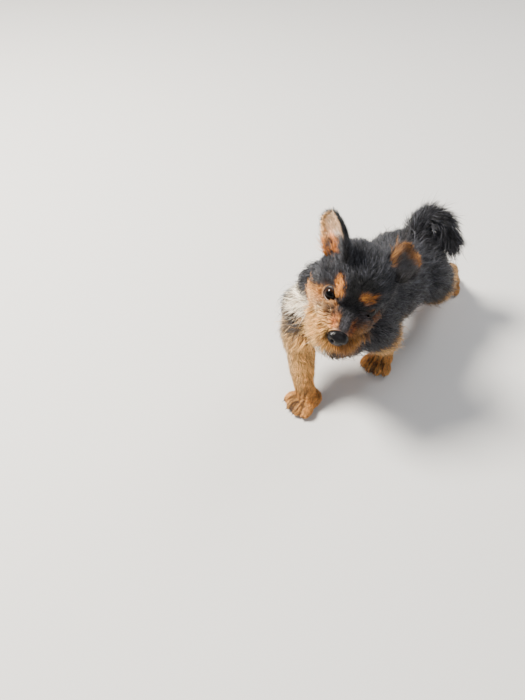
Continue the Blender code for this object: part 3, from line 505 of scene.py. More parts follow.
class Fields:
    """What the coat does at each of many places: nearest form, lie, size and colour."""

    def __init__(self, places):
        self.places = places
        self.head = head_places(places)
        self.far = {}
        self.along = {}
        skull = (np.linalg.norm(self.head / (np.array(SKULL) * 100), axis=1) - 1) * SKULL[0]
        muzzle = chain(places, [on_head(1.5, 0, -0.75), on_head(3.9, 0, -1.1)], (0.0150, 0.009))[0]
        self.far["head"] = np.minimum(skull, muzzle)
        neck = stretch(places, NECK_BASE, NECK_TOP, NECK_RADIUS + 0.002, NECK_RADIUS)[0]
        self.far["neck"] = neck
        self.far["ruff"] = chain(places, (RUFF_TOP[0], RUFF_FOOT[0]), (RUFF_TOP[1], RUFF_FOOT[1]))[0]
        self.far["mane"] = chain(places, (MANE_TOP[0], MANE_FOOT[0]), (MANE_TOP[1], MANE_FOOT[1]))[0]
        trunk = [centre for centre, wide, high in TRUNK]
        self.far["torso"], self.along["torso"] = chain(places, trunk, [wide + 0.001 for _, wide, _ in TRUNK])
        radii = [tail_radius(step) for step in range(len(TAIL_POINTS))]
        self.far["tail"], self.along["tail"] = chain(places, TAIL_POINTS, radii)
        for leg, joints in LEG_JOINTS.items():
            radii = FORE_RADII if leg.startswith("front") else HIND_RADII
            self.far[leg], self.along[leg] = chain(places, joints, radii)
            toes = np.array([tuple(middle) for middle, _, _ in toe_places(leg)])
            near = np.linalg.norm(places[:, None, :2] - toes[None, :, :2], axis=2).min(1)
            foot = np.maximum(near - 0.0052, places[:, 2] - PAW_HEIGHT * 1.15)
            self.along[leg] = np.where(foot < 0.001, 3.0, self.along[leg])
            self.far[leg] = np.where(foot < 0.001, -0.02, self.far[leg])
        self.names = list(self.far)
        table = np.stack([self.far[name] for name in self.names])
        self.nearest = table.argmin(0)
        weight = np.exp(-(table - table.min(0)) / BLEND)
        self.weight = dict(zip(self.names, weight / weight.sum(0)))

    def label(self):
        return np.array(self.names)[self.nearest]

    def sizes(self):
        """Length, lift, half width and density at every place."""
        total = np.zeros((len(self.places), 4))
        for name in self.names:
            if name in LEG_JOINTS:
                step = self.along[name]
                # From the upper leg's coat through the lower's to the paw's
                down = np.clip((step - 0.75) / 0.45, 0, 1)[:, None]
                foot = np.clip((step - 1.6) / 0.5, 0, 1)[:, None]
                row = COATS["upper"].row + (COATS["lower"].row - COATS["upper"].row) * down
                row = row + (COATS["paw"].row - row) * foot
            elif name == "head":
                row = self.head_sizes()
            else:
                row = np.broadcast_to(COATS[name].row, total.shape)
            total += self.weight[name][:, None] * row
        return total

    def head_sizes(self):
        x, y, z = self.head.T
        side = np.abs(y)
        row = np.repeat(COATS["head"].row[None], len(x), axis=0)

        def blend(share, length, lift, half, dense):
            row[:] += (np.array([length, lift, half, dense]) - row) * np.clip(share, 0, 1)[:, None]

        blend(ramp(x - 1.0, 0.18) * ramp(z + 0.2, 0.1), 0.0085, 0.0036, 0.00022, 2.8)
        blend(ramp(-0.1 - z, 0.12) * ramp(x + 0.2, 0.2), 0.0102, 0.0038, 0.00023, 2.6)
        blend(ramp(x - 1.9, 0.12) * ramp(-0.3 - z, 0.1), 0.0092, 0.0042, 0.00021, 3.6)
        blend(ramp(x - 2.3, 0.12) * ramp(-0.95 - z, 0.1), 0.0080, 0.0040, 0.00020, 4.4)
        blend(ramp(x - 1.75, 0.12) * ramp(z + 0.72, 0.08) * ramp(0.62 - side, 0.08), 0.0034, 0.0012, 0.00016, 4.6)
        blend(ramp(x - 1.0, 0.2) * ramp(-1.35 - z, 0.1), 0.0092, 0.0044, 0.00020, 4.4)
        right_brow = blob(self.head, (1.75, -1.30, 0.90), (0.5, 0.45, 0.5))
        blend(right_brow * 1.3, 0.0050, 0.0018, 0.00019, 3.6)
        left_brow = blob(self.head, (1.75, 0.75, 0.95), (0.5, 0.5, 0.5))
        blend(left_brow, 0.0135, 0.0065, 0.00019, 4.0)
        for eye in (-1, 1):
            gap = np.linalg.norm(self.head - np.array((EYE_SEAT[0], eye * EYE_SEAT[1], EYE_SEAT[2])), axis=1)
            close = np.clip((gap - 0.58) / 0.50, 0, 1)
            shrink = 0.24 + 0.76 * close
            row[:, 0] *= shrink
            row[:, 1] *= shrink
            row[:, 2] *= 0.66 + 0.34 * close
            row[:, 3] *= 1.0 + 0.9 * (1 - close)
        gap = np.linalg.norm(self.head - np.array(NOSE_SEAT), axis=1)
        close = np.clip((gap - 0.55) / 0.50, 0, 1) * 0.6 + 0.4 * ramp(-1.35 - z, 0.06)
        close = np.clip(close, 0, 1)
        row[:, 0] *= 0.34 + 0.66 * close
        row[:, 1] *= 0.30 + 0.70 * close
        row[:, 2] *= 0.75 + 0.25 * close
        return row

    def lie(self, outs):
        """The way the hair runs."""
        total = np.zeros((len(self.places), 3))
        for name in self.names:
            if name == "head":
                way = self.head_lie()
            elif name == "neck":
                way = np.array((0.0, 0.55, -0.80))
            elif name == "ruff":
                way = np.array((-0.62, -0.30, -0.72))
            elif name == "mane":
                way = np.array((-0.75, 0.05, -0.66))
            elif name == "torso":
                way = np.array((0.0, 1.0, -0.50))
            elif name == "tail":
                line = numbers(TAIL_POINTS)
                step = np.minimum(self.along[name].astype(int), len(line) - 2)
                way = unit(line[step + 1] - line[step]) + TAIL_FALL * np.clip(self.along[name] / 4 - 0.8, 0, 1)[:, None]
            else:
                way = self.leg_lie(name)
            total += self.weight[name][:, None] * way
        total -= outs * dot(total, outs)
        return unit(total)

    def leg_lie(self, leg):
        joints = numbers(LEG_JOINTS[leg])
        step = np.minimum(self.along[leg].astype(int), 2)
        way = unit(joints[step + 1] - joints[step])
        share = np.clip((self.along[leg] - 2.2) / 0.6, 0, 1)[:, None]
        ahead = np.array(foot_frame(leg).to_3x3() @ Vector((1, 0, -0.25)))
        return way * (1 - share) + ahead * share + np.array((0, 0.35, 0)) * (self.along[leg] < 1.6)[:, None]

    def head_lie(self):
        x, y, z = self.head.T
        side = np.where(y > 0, 1.0, -1.0) * ramp(np.abs(y) - 0.12, 0.06)
        way = np.stack([-np.ones(len(x)), y * 0.28, 0.22 + 0 * x], 1)

        def blend(share, ahead, out, up):
            target = np.stack([ahead + 0 * x, out * side, up + 0 * x], 1)
            way[:] += (target - way) * np.clip(share, 0, 1)[:, None]

        blend(ramp(-0.1 - z, 0.15), -0.62, 0.50, -0.62)
        blend(ramp(x - 1.0, 0.2) * ramp(z - 0.1, 0.15), -0.75, 0.50, 0.45)
        blend(ramp(x - 1.9, 0.12) * ramp(-0.45 - z, 0.10), 0.05, 0.85, -0.55)
        blend(ramp(x - 2.5, 0.12) * ramp(-0.95 - z, 0.10), 0.45, 0.62, -0.65)
        sweep = ramp(blob(self.head, (1.75, 0.75, 0.95), (0.6, 0.6, 0.6)) - 0.5, 0.08)
        blend(sweep, -0.10, 0.95, 0.05)
        blend(ramp(x - 1.75, 0.12) * ramp(z + 0.72, 0.08) * ramp(0.5 - np.abs(y), 0.08), -0.95, 0.30, 0.20)
        blend(ramp(x - 1.2, 0.2) * ramp(-1.40 - z, 0.10), -0.10, 0.42, -0.95)
        blend(ramp(x - 2.4, 0.15) * ramp(-1.40 - z, 0.10), 0.70, 0.34, -0.62)
        way = unit(way)
        for eye in (-1, 1):
            away = self.head - np.array((EYE_SEAT[0], eye * EYE_SEAT[1], EYE_SEAT[2]))
            gap = np.linalg.norm(away, axis=1)
            way += unit(away) * (1.4 * np.exp(-np.maximum(gap - 0.55, 0) / 0.20))[:, None]
        away = self.head - np.array(NOSE_SEAT)
        gap = np.linalg.norm(away, axis=1)
        way += unit(away) * (1.0 * np.exp(-np.maximum(gap - 0.5, 0) / 0.3))[:, None]
        return unit(way) @ HEAD_AXES.T

    def colours(self):
        """The markings: black above, tan on the face, chest and legs; with painted shade on the face's left side, round
        the left eye and between the toes, a painted sheen on the bridge and painted light above the nose.
        """
        uneven = waves(self.places, 0.011, 3) * 0.6 + waves(self.places, 0.004, 4) * 0.4
        total = np.zeros((len(self.places), 3))
        body = self.body_colours(uneven)
        for name in self.names:
            if name == "head":
                colour = self.head_colours(uneven)
            elif name in LEG_JOINTS:
                colour = self.leg_colours(name, uneven)
            elif name == "tail":
                colour = mixed(np.array([BLACK] * len(total)), TAN, ramp(1.6 - self.along["tail"], 0.3) * 0.0)
            else:
                colour = body
            total += self.weight[name][:, None] * colour
        return total

    def body_colours(self, uneven):
        spots = self.places * 100
        x, y, z = spots.T
        colour = np.array([BLACK] * len(x))
        colour = mixed(colour, SMOKE, 0.5 + 0.5 * uneven)
        belly = ramp(5.3 + 0.25 * uneven - z, 0.15) * ramp(1.7 - np.abs(x), 0.2)
        colour = mixed(colour, np.array(TAN) * 0.6, belly * 0.6)
        chest = blob(spots, (-0.1, -4.2, 6.3), (0.75, 1.4, 0.9))
        colour = mixed(colour, WHITE, ramp(chest - 0.50 + 0.20 * uneven, 0.06) * 0.9)
        return self.shoulder(colour, uneven)

    def shoulder(self, colour, uneven):
        """Cream fluff below the right cheek, tan beside the throat and a black patch on the upper arm."""
        spots = self.places * 100
        golden = blob(spots, (-1.55, -3.7, 7.6), (0.95, 1.5, 0.95))
        colour = mixed(colour, SAND, ramp(golden - 0.45 + 0.12 * uneven, 0.05))
        cream = blob(spots, (-3.0, -3.2, 8.25), (1.45, 1.8, 1.05))
        colour = mixed(colour, WHITE, ramp(cream - 0.45 + 0.14 * uneven, 0.05))
        patch = blob(spots, (-2.95, -4.2, 6.50), (1.10, 1.7, 1.05))
        return mixed(colour, SMOKE, ramp(patch - 0.50 + 0.14 * uneven, 0.05) * 0.92)

    def leg_colours(self, leg, uneven):
        step = self.along[leg] + 0.10 * uneven
        x, y, z = self.places.T * 100
        front = leg.startswith("front")
        colour = np.array([BLACK] * len(x))
        colour = mixed(colour, SMOKE, 0.5 + 0.5 * uneven)
        start = 0.80 if front else 1.05
        colour = mixed(colour, SAND, ramp(step - start, 0.05))
        joints = LEG_JOINTS[leg]
        inner = 1 if "right" in leg else -1
        middle_x = np.interp(self.along[leg], [0, 1, 2, 3], [joint.x * 100 for joint in joints])
        inside = ramp((x - middle_x) * inner - 0.55 + 0.2 * uneven, 0.12) * ramp(step - 0.35, 0.1)
        colour = mixed(colour, TAN, inside * 0.85)
        outside = ramp((middle_x - x) * inner - 0.35 + 0.2 * uneven, 0.12) * ramp(step - start, 0.1)
        paler = CREAM if leg == "front_right" else SAND
        if leg == "front_right":
            colour = mixed(colour, HONEY, ramp(1.9 - step, 0.15) * ramp(step - start, 0.1) * 0.5)
        colour = mixed(colour, paler, outside * ramp(1.8 - step, 0.1) * 0.9)
        if leg == "front_right":
            colour = self.shoulder(colour, uneven)
        colour = mixed(colour, TAN, ramp(step - 2.35, 0.12) * 0.7)
        spot = (self.places - np.array(foot_frame(leg).translation)) @ np.array(foot_frame(leg).to_3x3())
        toes = ramp(spot[:, 0] - 0.0035, 0.0012) * ramp(step - 2.3, 0.1)
        turned = spot[:, 1] / (1 + 12 * np.maximum(spot[:, 0], 0))
        # Painted shade: dark lines between the toes, where shade falls in the clefts.
        for gap in (-1, 0, 1):
            cleft_shade = np.exp(-(((turned - gap * PAW_WIDTH * 0.20) / 0.0010) ** 2))
            colour = mixed(colour, (0.060, 0.026, 0.012), toes * cleft_shade * 0.95)
        return colour

    def head_colours(self, uneven):
        head = self.head
        x, y, z = head.T
        side = np.abs(y)
        folded = np.stack([x, side, z], 1)
        rough = 0.10 * uneven
        colour = np.array([BLACK] * len(x))
        colour = mixed(colour, SMOKE, 0.5 + 0.5 * uneven)
        height = np.interp(x, *TAN_HEIGHT)
        back = 0.25 + 1.30 * ramp(z + 0.85, 0.2)
        low = ramp(height + rough - z, 0.05) * ramp(x - back + rough, 0.08)
        throat = ramp(-1.45 + rough - z, 0.08) * ramp(x - 0.3, 0.1)
        colour = mixed(colour, TAN, np.maximum(low, throat))
        pale = blob(folded, (2.95, 1.85, -0.65), (0.80, 0.68, 0.55))
        colour = mixed(colour, CREAM, np.clip(pale * (1.4 + 3 * rough), 0, 1))
        cheek = blob(folded, (2.2, 2.1, -1.4), (0.9, 0.7, 0.6))
        colour = mixed(colour, CREAM, cheek * (0.8 + 3 * rough))
        muzzle = ramp(x - 3.10 + rough, 0.10) * ramp(-0.10 - z, 0.08)
        colour = mixed(colour, HONEY, muzzle * 0.8)
        inner = blob(folded, (3.40, 1.00, -0.20), (0.80, 0.45, 0.50))
        colour = mixed(colour, RUST_LIGHT, inner * (1.2 + 2 * rough))
        beard = ramp(-1.20 - z + rough, 0.12) * ramp(x - 2.2, 0.15)
        colour = mixed(colour, HONEY, beard * (0.7 + 2 * rough))
        chin = blob(head, (3.6, 0.1, -2.0), (1.2, 0.55, 0.8))
        colour = mixed(colour, GOLD, chin * (0.9 + 2 * rough))
        white = blob(head, (2.9, -0.75, -2.3), (0.9, 0.35, 0.5))
        colour = mixed(colour, WHITE, ramp(white - 0.45 + rough, 0.06))
        temple = blob(folded, (2.0, 2.40, -0.25), (0.42, 0.45, 0.55))
        colour = mixed(colour, RUST, temple * 0.75)
        streaks = waves(head * np.array((0.6, 1.0, 0.6)), 0.30, 8)
        colour = mixed(colour, colour * np.array((0.50, 0.42, 0.36)), ramp(streaks - 0.50, 0.25) * low)
        # Painted shade: the tan on the face's left side is darkened, where shade falls on that side of the face.
        shaded_left = ramp(y - 0.5, 0.1) * low
        colour = mixed(colour, colour * np.array((0.34, 0.25, 0.16)), shaded_left * 0.9)
        width = np.interp(x, *STRIPE_WIDTH)
        stripe = ramp(width + 0.6 * rough - side, 0.04) * ramp(x - 1.2, 0.1) * ramp(z + 0.35, 0.06)
        colour = mixed(colour, (0.0012, 0.0012, 0.0015), stripe)
        for eye, (start, end) in BROWS.items():
            far = stretch(folded, start, end, 0.30, 0.27)[0] + 10 * (y * eye < 0)
            # Painted shade: the left brow is darkened more than the right, where shade falls on the face's left side.
            brow_shade = 0.85 if eye < 0 else 0.5
            colour = mixed(colour, np.array(ORANGE) * brow_shade, ramp(0.03 + 1.2 * rough - far, 0.035))
            colour = mixed(colour, np.array(GOLD) * brow_shade, ramp(-0.12 + 1.2 * rough - far, 0.05) * 0.7)
        # Painted sheen: grey over the black on the bridge of the nose stands for light caught by its short hair.
        bridge_sheen = blob(folded, (3.5, 0.0, 0.1), (0.8, 0.45, 0.5))
        colour = mixed(colour, (0.085, 0.078, 0.085), bridge_sheen * 0.8)
        smudge = stretch(folded, (2.74, 2.02, -0.42), (2.90, 1.05, 0.16), 0.34, 0.38)[0]
        colour = mixed(colour, SOOT, ramp(0.03 + 1.2 * rough - smudge, 0.10) * 0.82)
        corner = blob(folded, (2.62, 1.12, 0.52), (0.34, 0.30, 0.34))
        colour = mixed(colour, (0.0012, 0.0012, 0.0015), ramp(corner - 0.4 + rough, 0.08) * 0.95)
        # A dark ring round each eye. Round the left eye it is wider and darker as painted shade, where shade falls on
        # the face's left side.
        for eye in (-1, 1):
            rim = np.linalg.norm(head - np.array((EYE_SEAT[0], eye * EYE_SEAT[1], EYE_SEAT[2])), axis=1)
            ring_and_shade_reach = 0.70 if eye < 0 else 1.05
            colour = mixed(colour, (0.03, 0.02, 0.018), ramp(ring_and_shade_reach - rim, 0.04) * (0.55 if eye < 0 else 0.95))
        # Painted light: pinkish tan on the fur just above the nose, where light falls on it.
        above_nose = blob(folded, (4.15, 0.45, -0.35), (0.30, 0.26, 0.24))
        return mixed(colour, PINK, above_nose * 0.9)


# Tufts

SINK = 0.0004
CLUMP_REACH = 0.0045
SECTION = np.array([(1.0, 0.0), (-1.0, 0.0), (0.0, 0.75)])
PATCH = 0.003


class Tufts:
    """Many closed, tapered tufts, as the points of their rings."""

    def __init__(self, rings):
        self.rings = rings
        self.points = []
        self.colours = []
        self.roots = []

    def pattern(self):
        """Faces of one tuft, and where each face's corners lie on its patch."""
        faces, spots = [(2, 1, 0)], [((1, 0), (0.5, 0), (0, 0))]
        for ring in range(self.rings - 1):
            low, high = 3 * ring, 3 * ring + 3
            down, up = ring / self.rings, (ring + 1) / self.rings
            for corner in range(3):
                after = (corner + 1) % 3
                left, right = corner / 3, (corner + 1) / 3
                faces.append((low + corner, low + after, high + after))
                spots.append(((left, down), (right, down), (right, up)))
                faces.append((low + corner, high + after, high + corner))
                spots.append(((left, down), (right, up), (left, up)))
        last = 3 * (self.rings - 1)
        down = (self.rings - 1) / self.rings
        for corner in range(3):
            left, right = corner / 3, (corner + 1) / 3
            faces.append((last + corner, last + (corner + 1) % 3, last + 3))
            spots.append(((left, down), (right, down), ((left + right) / 2, 1)))
        return np.array(faces), np.array(spots, float)

    def count(self):
        return sum(len(roots) for roots in self.roots)


def nearest_on(tree, places):
    spots, normals = np.empty_like(places), np.empty_like(places)
    for index, place in enumerate(places):
        spot, normal, _, _ = tree.find_nearest(place)
        spots[index], normals[index] = spot, normal
    return spots, normals


def clump_leaders(roots, size, draw):
    """For each tuft, the tuft that its clump leans to."""
    leaders = draw.permutation(len(roots))[: max(1, len(roots) // size)]
    tree = KDTree(len(leaders))
    for index in leaders:
        tree.insert(roots[index], int(index))
    tree.balance()
    found = [tree.find(root) for root in roots]
    return np.array([index for _, index, _ in found]), np.array([gap for _, _, gap in found])


def grow(tufts, tree, roots, outs, lies, sizes, colours, draw, clump=9, pull=0.62, wild=0.30, follow=None):
    """Adds a tuft at every root: it rises, follows the skin where told to, leans to its clump and ends in a point."""
    count, rings = len(roots), tufts.rings
    follow = np.zeros(count, bool) if follow is None else follow
    length = sizes[:, 0] * draw.uniform(0.72, 1.18, count)
    lift = sizes[:, 1] * draw.uniform(0.45, 1.20, count)
    half = sizes[:, 2] * draw.uniform(0.7, 1.3, count)
    stray = draw.random(count) < 0.055
    length = np.where(stray, length * 1.40, length)
    lift = np.where(stray, lift * 1.5, lift)
    half = np.where(stray, half * 0.7, half)
    across = np.cross(lies, outs)
    lie = unit(lies + across * draw.normal(0, wild, count)[:, None])
    bend = draw.normal(0, 0.35, count)
    shares = np.linspace(0, 1, rings + 1)
    line = np.zeros((rings + 1, count, 3))
    ups = np.zeros_like(line)
    foot, out = roots.copy(), outs.copy()
    for step, share in enumerate(shares):
        lie = np.where(follow[:, None], unit(lie - out * dot(lie, out)), lie)
        rise = lift * (1 - (1 - share) ** 1.5) - (SINK if step == 0 else 0)
        line[step] = foot + out * rise[:, None]
        ups[step] = out
        if step < rings:
            across = np.cross(lie, out)
            way = unit(lie + across * (bend * (share + 0.3))[:, None])
            foot = foot + way * (length / rings)[:, None]
            if follow.any():
                spots, normals = nearest_on(tree, foot[follow])
                foot[follow] = spots
                out[follow] = unit(out[follow] + normals * 1.2)
    leader, gap = clump_leaders(roots, clump, draw)
    strength = pull * draw.uniform(0.5, 1.2, count)[leader] * np.clip(1 - gap / CLUMP_REACH, 0, 1)
    strength = np.where(stray, 0, strength)
    for step, share in enumerate(shares):
        target = line[step][leader] + (roots - roots[leader]) * 0.12
        line[step] += (target - line[step]) * (np.clip(strength, 0, 0.9) * share**1.2)[:, None]
    line[1:, :, 2] = np.maximum(line[1:, :, 2], 0.0004)
    ring_points = []
    for step in range(rings):
        along = unit(line[step + 1] - line[max(step - 1, 0)])
        across = unit(np.cross(along, ups[step]))
        thick = np.cross(across, along)
        profile = (0.85, 1.0, 0.72, 0.5)[step] if rings > 2 else (0.95, 0.8)[step]
        for wide, high in SECTION:
            spot = line[step] + across * (half * profile * wide)[:, None] + thick * (half * profile * high)[:, None]
            ring_points.append(spot)
    ring_points.append(line[rings])
    points = np.stack(ring_points, 1)
    tint = draw.normal(0, 0.17, count) + draw.normal(0, 0.15, count)[leader]
    shade = np.clip(1 + tint, 0.45, 1.7)[:, None]
    dark = colours.mean(1, keepdims=True) < 0.08
    dusky = (draw.random(count) < 0.10)[:, None] & ~dark
    colours = np.where(dusky, colours * np.array((0.42, 0.34, 0.28)), colours)
    # Painted sheen: on some tufts, grey tips over black hair and brighter tips on tan hair stand for light caught along
    # the hair.
    sheen_streak = (draw.random(count) ** 5 * 2.4 + draw.random(count)[leader] ** 4 * 0.8)[:, None]
    rings_colour = []
    for step, share in enumerate(shares):
        fade = 0.36 + 0.64 * min(1.0, share * 1.5)
        colour = colours * shade * fade
        painted_sheen = np.array((0.050, 0.052, 0.062)) * share * np.clip(colours.mean(1, keepdims=True) / 0.006, 0.2, 1)
        colour = np.where(dark, colour + painted_sheen * sheen_streak, colour * (1 + 0.22 * share * sheen_streak))
        rings_colour += [colour] * (3 if step < rings else 1)
    tufts.points.append(points)
    tufts.colours.append(np.stack(rings_colour, 1))
    tufts.roots.append(roots)


def mesh_piece(name, points, faces, colours=None, loop_uvs=None):
    """An object from arrays of points and triangles."""
    mesh = bpy.data.meshes.new(name)
    mesh.vertices.add(len(points))
    mesh.vertices.foreach_set("co", points.astype(np.float32).ravel())
    mesh.loops.add(faces.size)
    mesh.loops.foreach_set("vertex_index", faces.astype(np.int32).ravel())
    mesh.polygons.add(len(faces))
    mesh.polygons.foreach_set("loop_start", np.arange(0, faces.size, 3, dtype=np.int32))
    mesh.update(calc_edges=True)
    mesh.validate()
    if colours is not None:
        paint(mesh, colours)
    if loop_uvs is not None:
        layer = mesh.uv_layers.new(name="OFBake")
        layer.data.foreach_set("uv", loop_uvs.astype(np.float32).ravel())
    mesh.shade_smooth()
    obj = bpy.data.objects.new(name, mesh)
    bpy.context.scene.collection.objects.link(obj)
    return obj


def paint(mesh, colours):
    """Stores the colours at each point of the mesh: the markings, with painted light and shade where the colours carry
    them.
    """
    layer = mesh.color_attributes.new("MarkingsAndPaintedLight", "FLOAT_COLOR", "POINT")
    values = np.ones((len(colours), 4), np.float32)
    values[:, :3] = colours
    layer.data.foreach_set("color", values.ravel())


def coat_piece(name, tufts, unwrap):
    points = np.concatenate(tufts.points)
    colours = np.concatenate(tufts.colours)
    roots = np.concatenate(tufts.roots)
    faces, spots = tufts.pattern()
    count, corners = points.shape[:2]
    all_faces = (faces[None] + (np.arange(count) * corners)[:, None, None]).reshape(-1, 3)
    places = unwrap(roots)
    uvs = places[:, None, None, :] + (spots[None] - 0.5) * PATCH
    piece = mesh_piece(name, points.reshape(-1, 3), all_faces, colours.reshape(-1, 3), uvs.reshape(-1, 2))
    triangles = len(all_faces)
    print("COAT", name, count, "tufts", triangles, "triangles")
    return piece


# Unwraps of the skin's forms, over the unit square


def unwrap_head(roots):
    """Rings round the muzzle's line, out to the back of the head."""
    head = unit(head_places(roots) - np.array((0.6, 0, -0.3)))
    angle = np.arccos(np.clip(head[:, 0], -1, 1)) / math.pi
    turn = np.arctan2(head[:, 2], head[:, 1])
    return 0.5 + 0.48 * angle[:, None] * np.stack([np.cos(turn), np.sin(turn)], 1)


def unwrap_chain(points, radii):
    """Round a line on one side of the square, along it on the other."""

    def unwrap(roots):
        far, along = chain(roots, points, radii)
        line = numbers(points)
        step = np.minimum(along.astype(int), len(line) - 2)
        centre = line[step] + (line[step + 1] - line[step]) * (along - step)[:, None]
        axis = unit(line[-1] - line[0])
        first = unit(np.cross(axis, (0.3, 0.2, 0.93)))
        second = np.cross(axis, first)
        offset = roots - centre
        turn = np.arctan2(offset @ second, offset @ first)
        over = (offset @ axis) / np.linalg.norm(line[-1] - line[0])
        v = np.clip(along / (len(line) - 1) + over, -0.4, 1.4)
        return np.stack([0.5 + 0.48 * turn / math.pi, 0.03 + 0.94 * (v + 0.4) / 1.8], 1)

    return unwrap


# Roots on a surface


class Surface:
    """Triangles of an object, for drawing roots spread evenly over them."""

    def __init__(self, obj):
        mesh = obj.data
        mesh.calc_loop_triangles()
        index = np.zeros(len(mesh.loop_triangles) * 3, np.int32)
        mesh.loop_triangles.foreach_get("vertices", index)
        self.index = index.reshape(-1, 3)
        self.corners = corners_of(mesh)
        normals = np.zeros(len(mesh.vertices) * 3)
        mesh.vertices.foreach_get("normal", normals)
        self.normals = normals.reshape(-1, 3)
        a, b, c = (self.corners[self.index[:, k]] for k in range(3))
        self.areas = np.linalg.norm(np.cross(b - a, c - a), axis=1) / 2
        self.middles = (a + b + c) / 3

    def draw_roots(self, dense, draw):
        """Roots at the given number for each square millimetre of each triangle."""
        expected = self.areas * 1e6 * dense
        count = np.floor(expected + draw.random(len(expected))).astype(int)
        chosen = np.repeat(np.arange(len(count)), count)
        u, v = np.sort(draw.random((2, len(chosen))), axis=0)
        shares = np.stack([u, v - u, 1 - v], 1)
        index = self.index[chosen]
        roots = (self.corners[index] * shares[:, :, None]).sum(1)
        outs = unit((self.normals[index] * shares[:, :, None]).sum(1))
        return roots, outs, chosen


# Ears


def ear_frame(side):
    """Root, and the ear's own axes: out of the head, across it, and the way its cup faces."""
    rise = (HEAD_TURN @ EARS[side][2]).normalized()
    face = HEAD_TURN @ EARS[side][3]
    face = (face - rise * face.dot(rise)).normalized()
    return on_head(*EAR_SEATS[side]), rise, rise.cross(face).normalized(), face


def ear_width_share(along):
    if along < 0.35:
        return 0.74 + 0.26 * math.sin(max(along, -0.1) / 0.35 * math.pi / 2)
    return max(0.06, math.sqrt(max(0.0, 1 - ((along - 0.35) / 0.66) ** 3.6)))


EAR_ROWS, EAR_COLUMNS = 30, 22


def ear_spot(side, along, share, depth):
    """A point of the ear: along it, across it from -1 to 1, and into its thickness."""
    root, rise, across, face = ear_frame(side)
    length, width = EARS[side][:2]
    half = width / 2 * ear_width_share(along)
    cup = EAR_CUP * (1 - 0.45 * along)
    bend = cup * share
    place = root + rise * length * (along - 0.12) + across * math.sin(bend) / math.sin(cup) * half
    place += face * (1 - math.cos(bend)) * half / math.sin(cup)
    place += face * length * 0.16 * max(0.0, along - 0.55) ** 1.5
    thick = EAR_THICKNESS * (1 - 0.45 * along) * (1 - 0.55 * share**2)
    return place - face * thick * depth


def make_ear(side, name):
    """A thin cupped leaf, its faces closed round the rim."""
    points, faces = [], []
    rows, columns = EAR_ROWS, EAR_COLUMNS
    for depth in (0, 1):
        for row in range(rows + 1):
            for column in range(columns + 1):
                points.append(ear_spot(side, row / rows, column / columns * 2 - 1, depth))
    sheet = (rows + 1) * (columns + 1)

    def spot(row, column, depth):
        return depth * sheet + row * (columns + 1) + column

    for row in range(rows):
        for column in range(columns):
            ring = [spot(row, column, 0), spot(row, column + 1, 0), spot(row + 1, column + 1, 0), spot(row + 1, column, 0)]
            faces.append(ring)
            faces.append([index + sheet for index in reversed(ring)])
    rim = [(0, column) for column in range(columns)]
    rim += [(row, columns) for row in range(rows)]
    rim += [(rows, column) for column in range(columns, 0, -1)]
    rim += [(row, 0) for row in range(rows, 0, -1)]
    for (row, column), (next_row, next_column) in zip(rim, rim[1:] + rim[:1]):
        faces.append([spot(row, column, 0), spot(row, column, 1), spot(next_row, next_column, 1), spot(next_row, next_column, 0)])
    mesh = bpy.data.meshes.new(name)
    mesh.from_pydata([tuple(point) for point in points], [], faces)
    bm = bmesh.new()
    bm.from_mesh(mesh)
    bmesh.ops.recalc_face_normals(bm, faces=bm.faces)
    bm.to_mesh(mesh)
    bm.free()
    ear = bpy.data.objects.new(name, mesh)
    bpy.context.scene.collection.objects.link(ear)
    subdivide = ear.modifiers.new("Round", "SUBSURF")
    subdivide.levels = subdivide.render_levels = 1
    return settle(ear)


def ear_places(side, places):
    """Places on the ear as share along it and across it."""
    root, rise, across, face = (np.array(v) for v in ear_frame(side))
    length, width = EARS[side][:2]
    along = (places - root) @ rise / length + 0.12
    half = np.array([width / 2 * ear_width_share(a) for a in along])
    share = (places - root) @ across / np.maximum(half, 1e-5)
    return along, np.clip(share, -1.2, 1.2)


def ear_inside(side, places, outs):
    face = np.array(ear_frame(side)[3])
    return outs @ face > 0.15


def ear_colours(side, places, outs):
    """Black behind. The right ear is pale and bare within, tan along the rim, with orange hair at the root and a
    painted highlight where it bends; the left ear is painted dark within as shade, with a tan rim painted as light on
    its lit side and at the tip.
    """
    along, share = ear_places(side, places)
    inside = ear_inside(side, places, outs)
    uneven = waves(places, 0.005, 9)
    behind = mixed(np.array([BLACK] * len(places)), SMOKE, 0.5 + 0.5 * uneven)
    if side < 0:
        within = np.array([(0.96, 0.66, 0.43)] * len(places))
        within = mixed(within, CREAM, ramp(along - 0.55, 0.1) * 0.35)
        root = ramp(0.46 + 0.08 * uneven - along, 0.05)
        within = mixed(within, ORANGE, root)
        within = mixed(within, BLACK, root * ramp(np.sin(share * 8 + 0.6 + uneven) + 0.10, 0.12) * 0.95)
        within = mixed(within, SAND, ramp(np.abs(share) - 0.78 + 0.08 * uneven, 0.05) * ramp(along - 0.4, 0.1) * 0.8)
        turned = ramp(share - 0.10 - 0.55 * along + 0.06 * uneven, 0.05)
        within = mixed(within, BLACK, turned)
        # Painted highlight: a near-white spot where the ear bends at mid-height.
        spot = np.exp(-(((along - 0.52) / 0.075) ** 2 + ((share + 0.15) / 0.35) ** 2))
        within = mixed(within, (0.97, 0.92, 0.84), np.clip(spot * 1.7, 0, 1))
    else:
        # Painted shade: the left ear's inside is near black, with a tan rim painted as light on its lit side (EAR_LIT)
        # and at the tip.
        within = np.array([(0.010, 0.007, 0.005)] * len(places))
        rim = np.maximum(share * EAR_LIT - 0.55 + 0.9 * np.maximum(along - 0.6, 0), along - 0.80)
        within = mixed(within, (0.22, 0.090, 0.026), ramp(rim + 0.08 + 0.06 * uneven, 0.07) * 0.8)
        within = mixed(within, (0.50, 0.235, 0.080), ramp(rim - 0.12 + 0.06 * uneven, 0.07) * 0.7)
    return np.where(inside[:, None], within, behind)


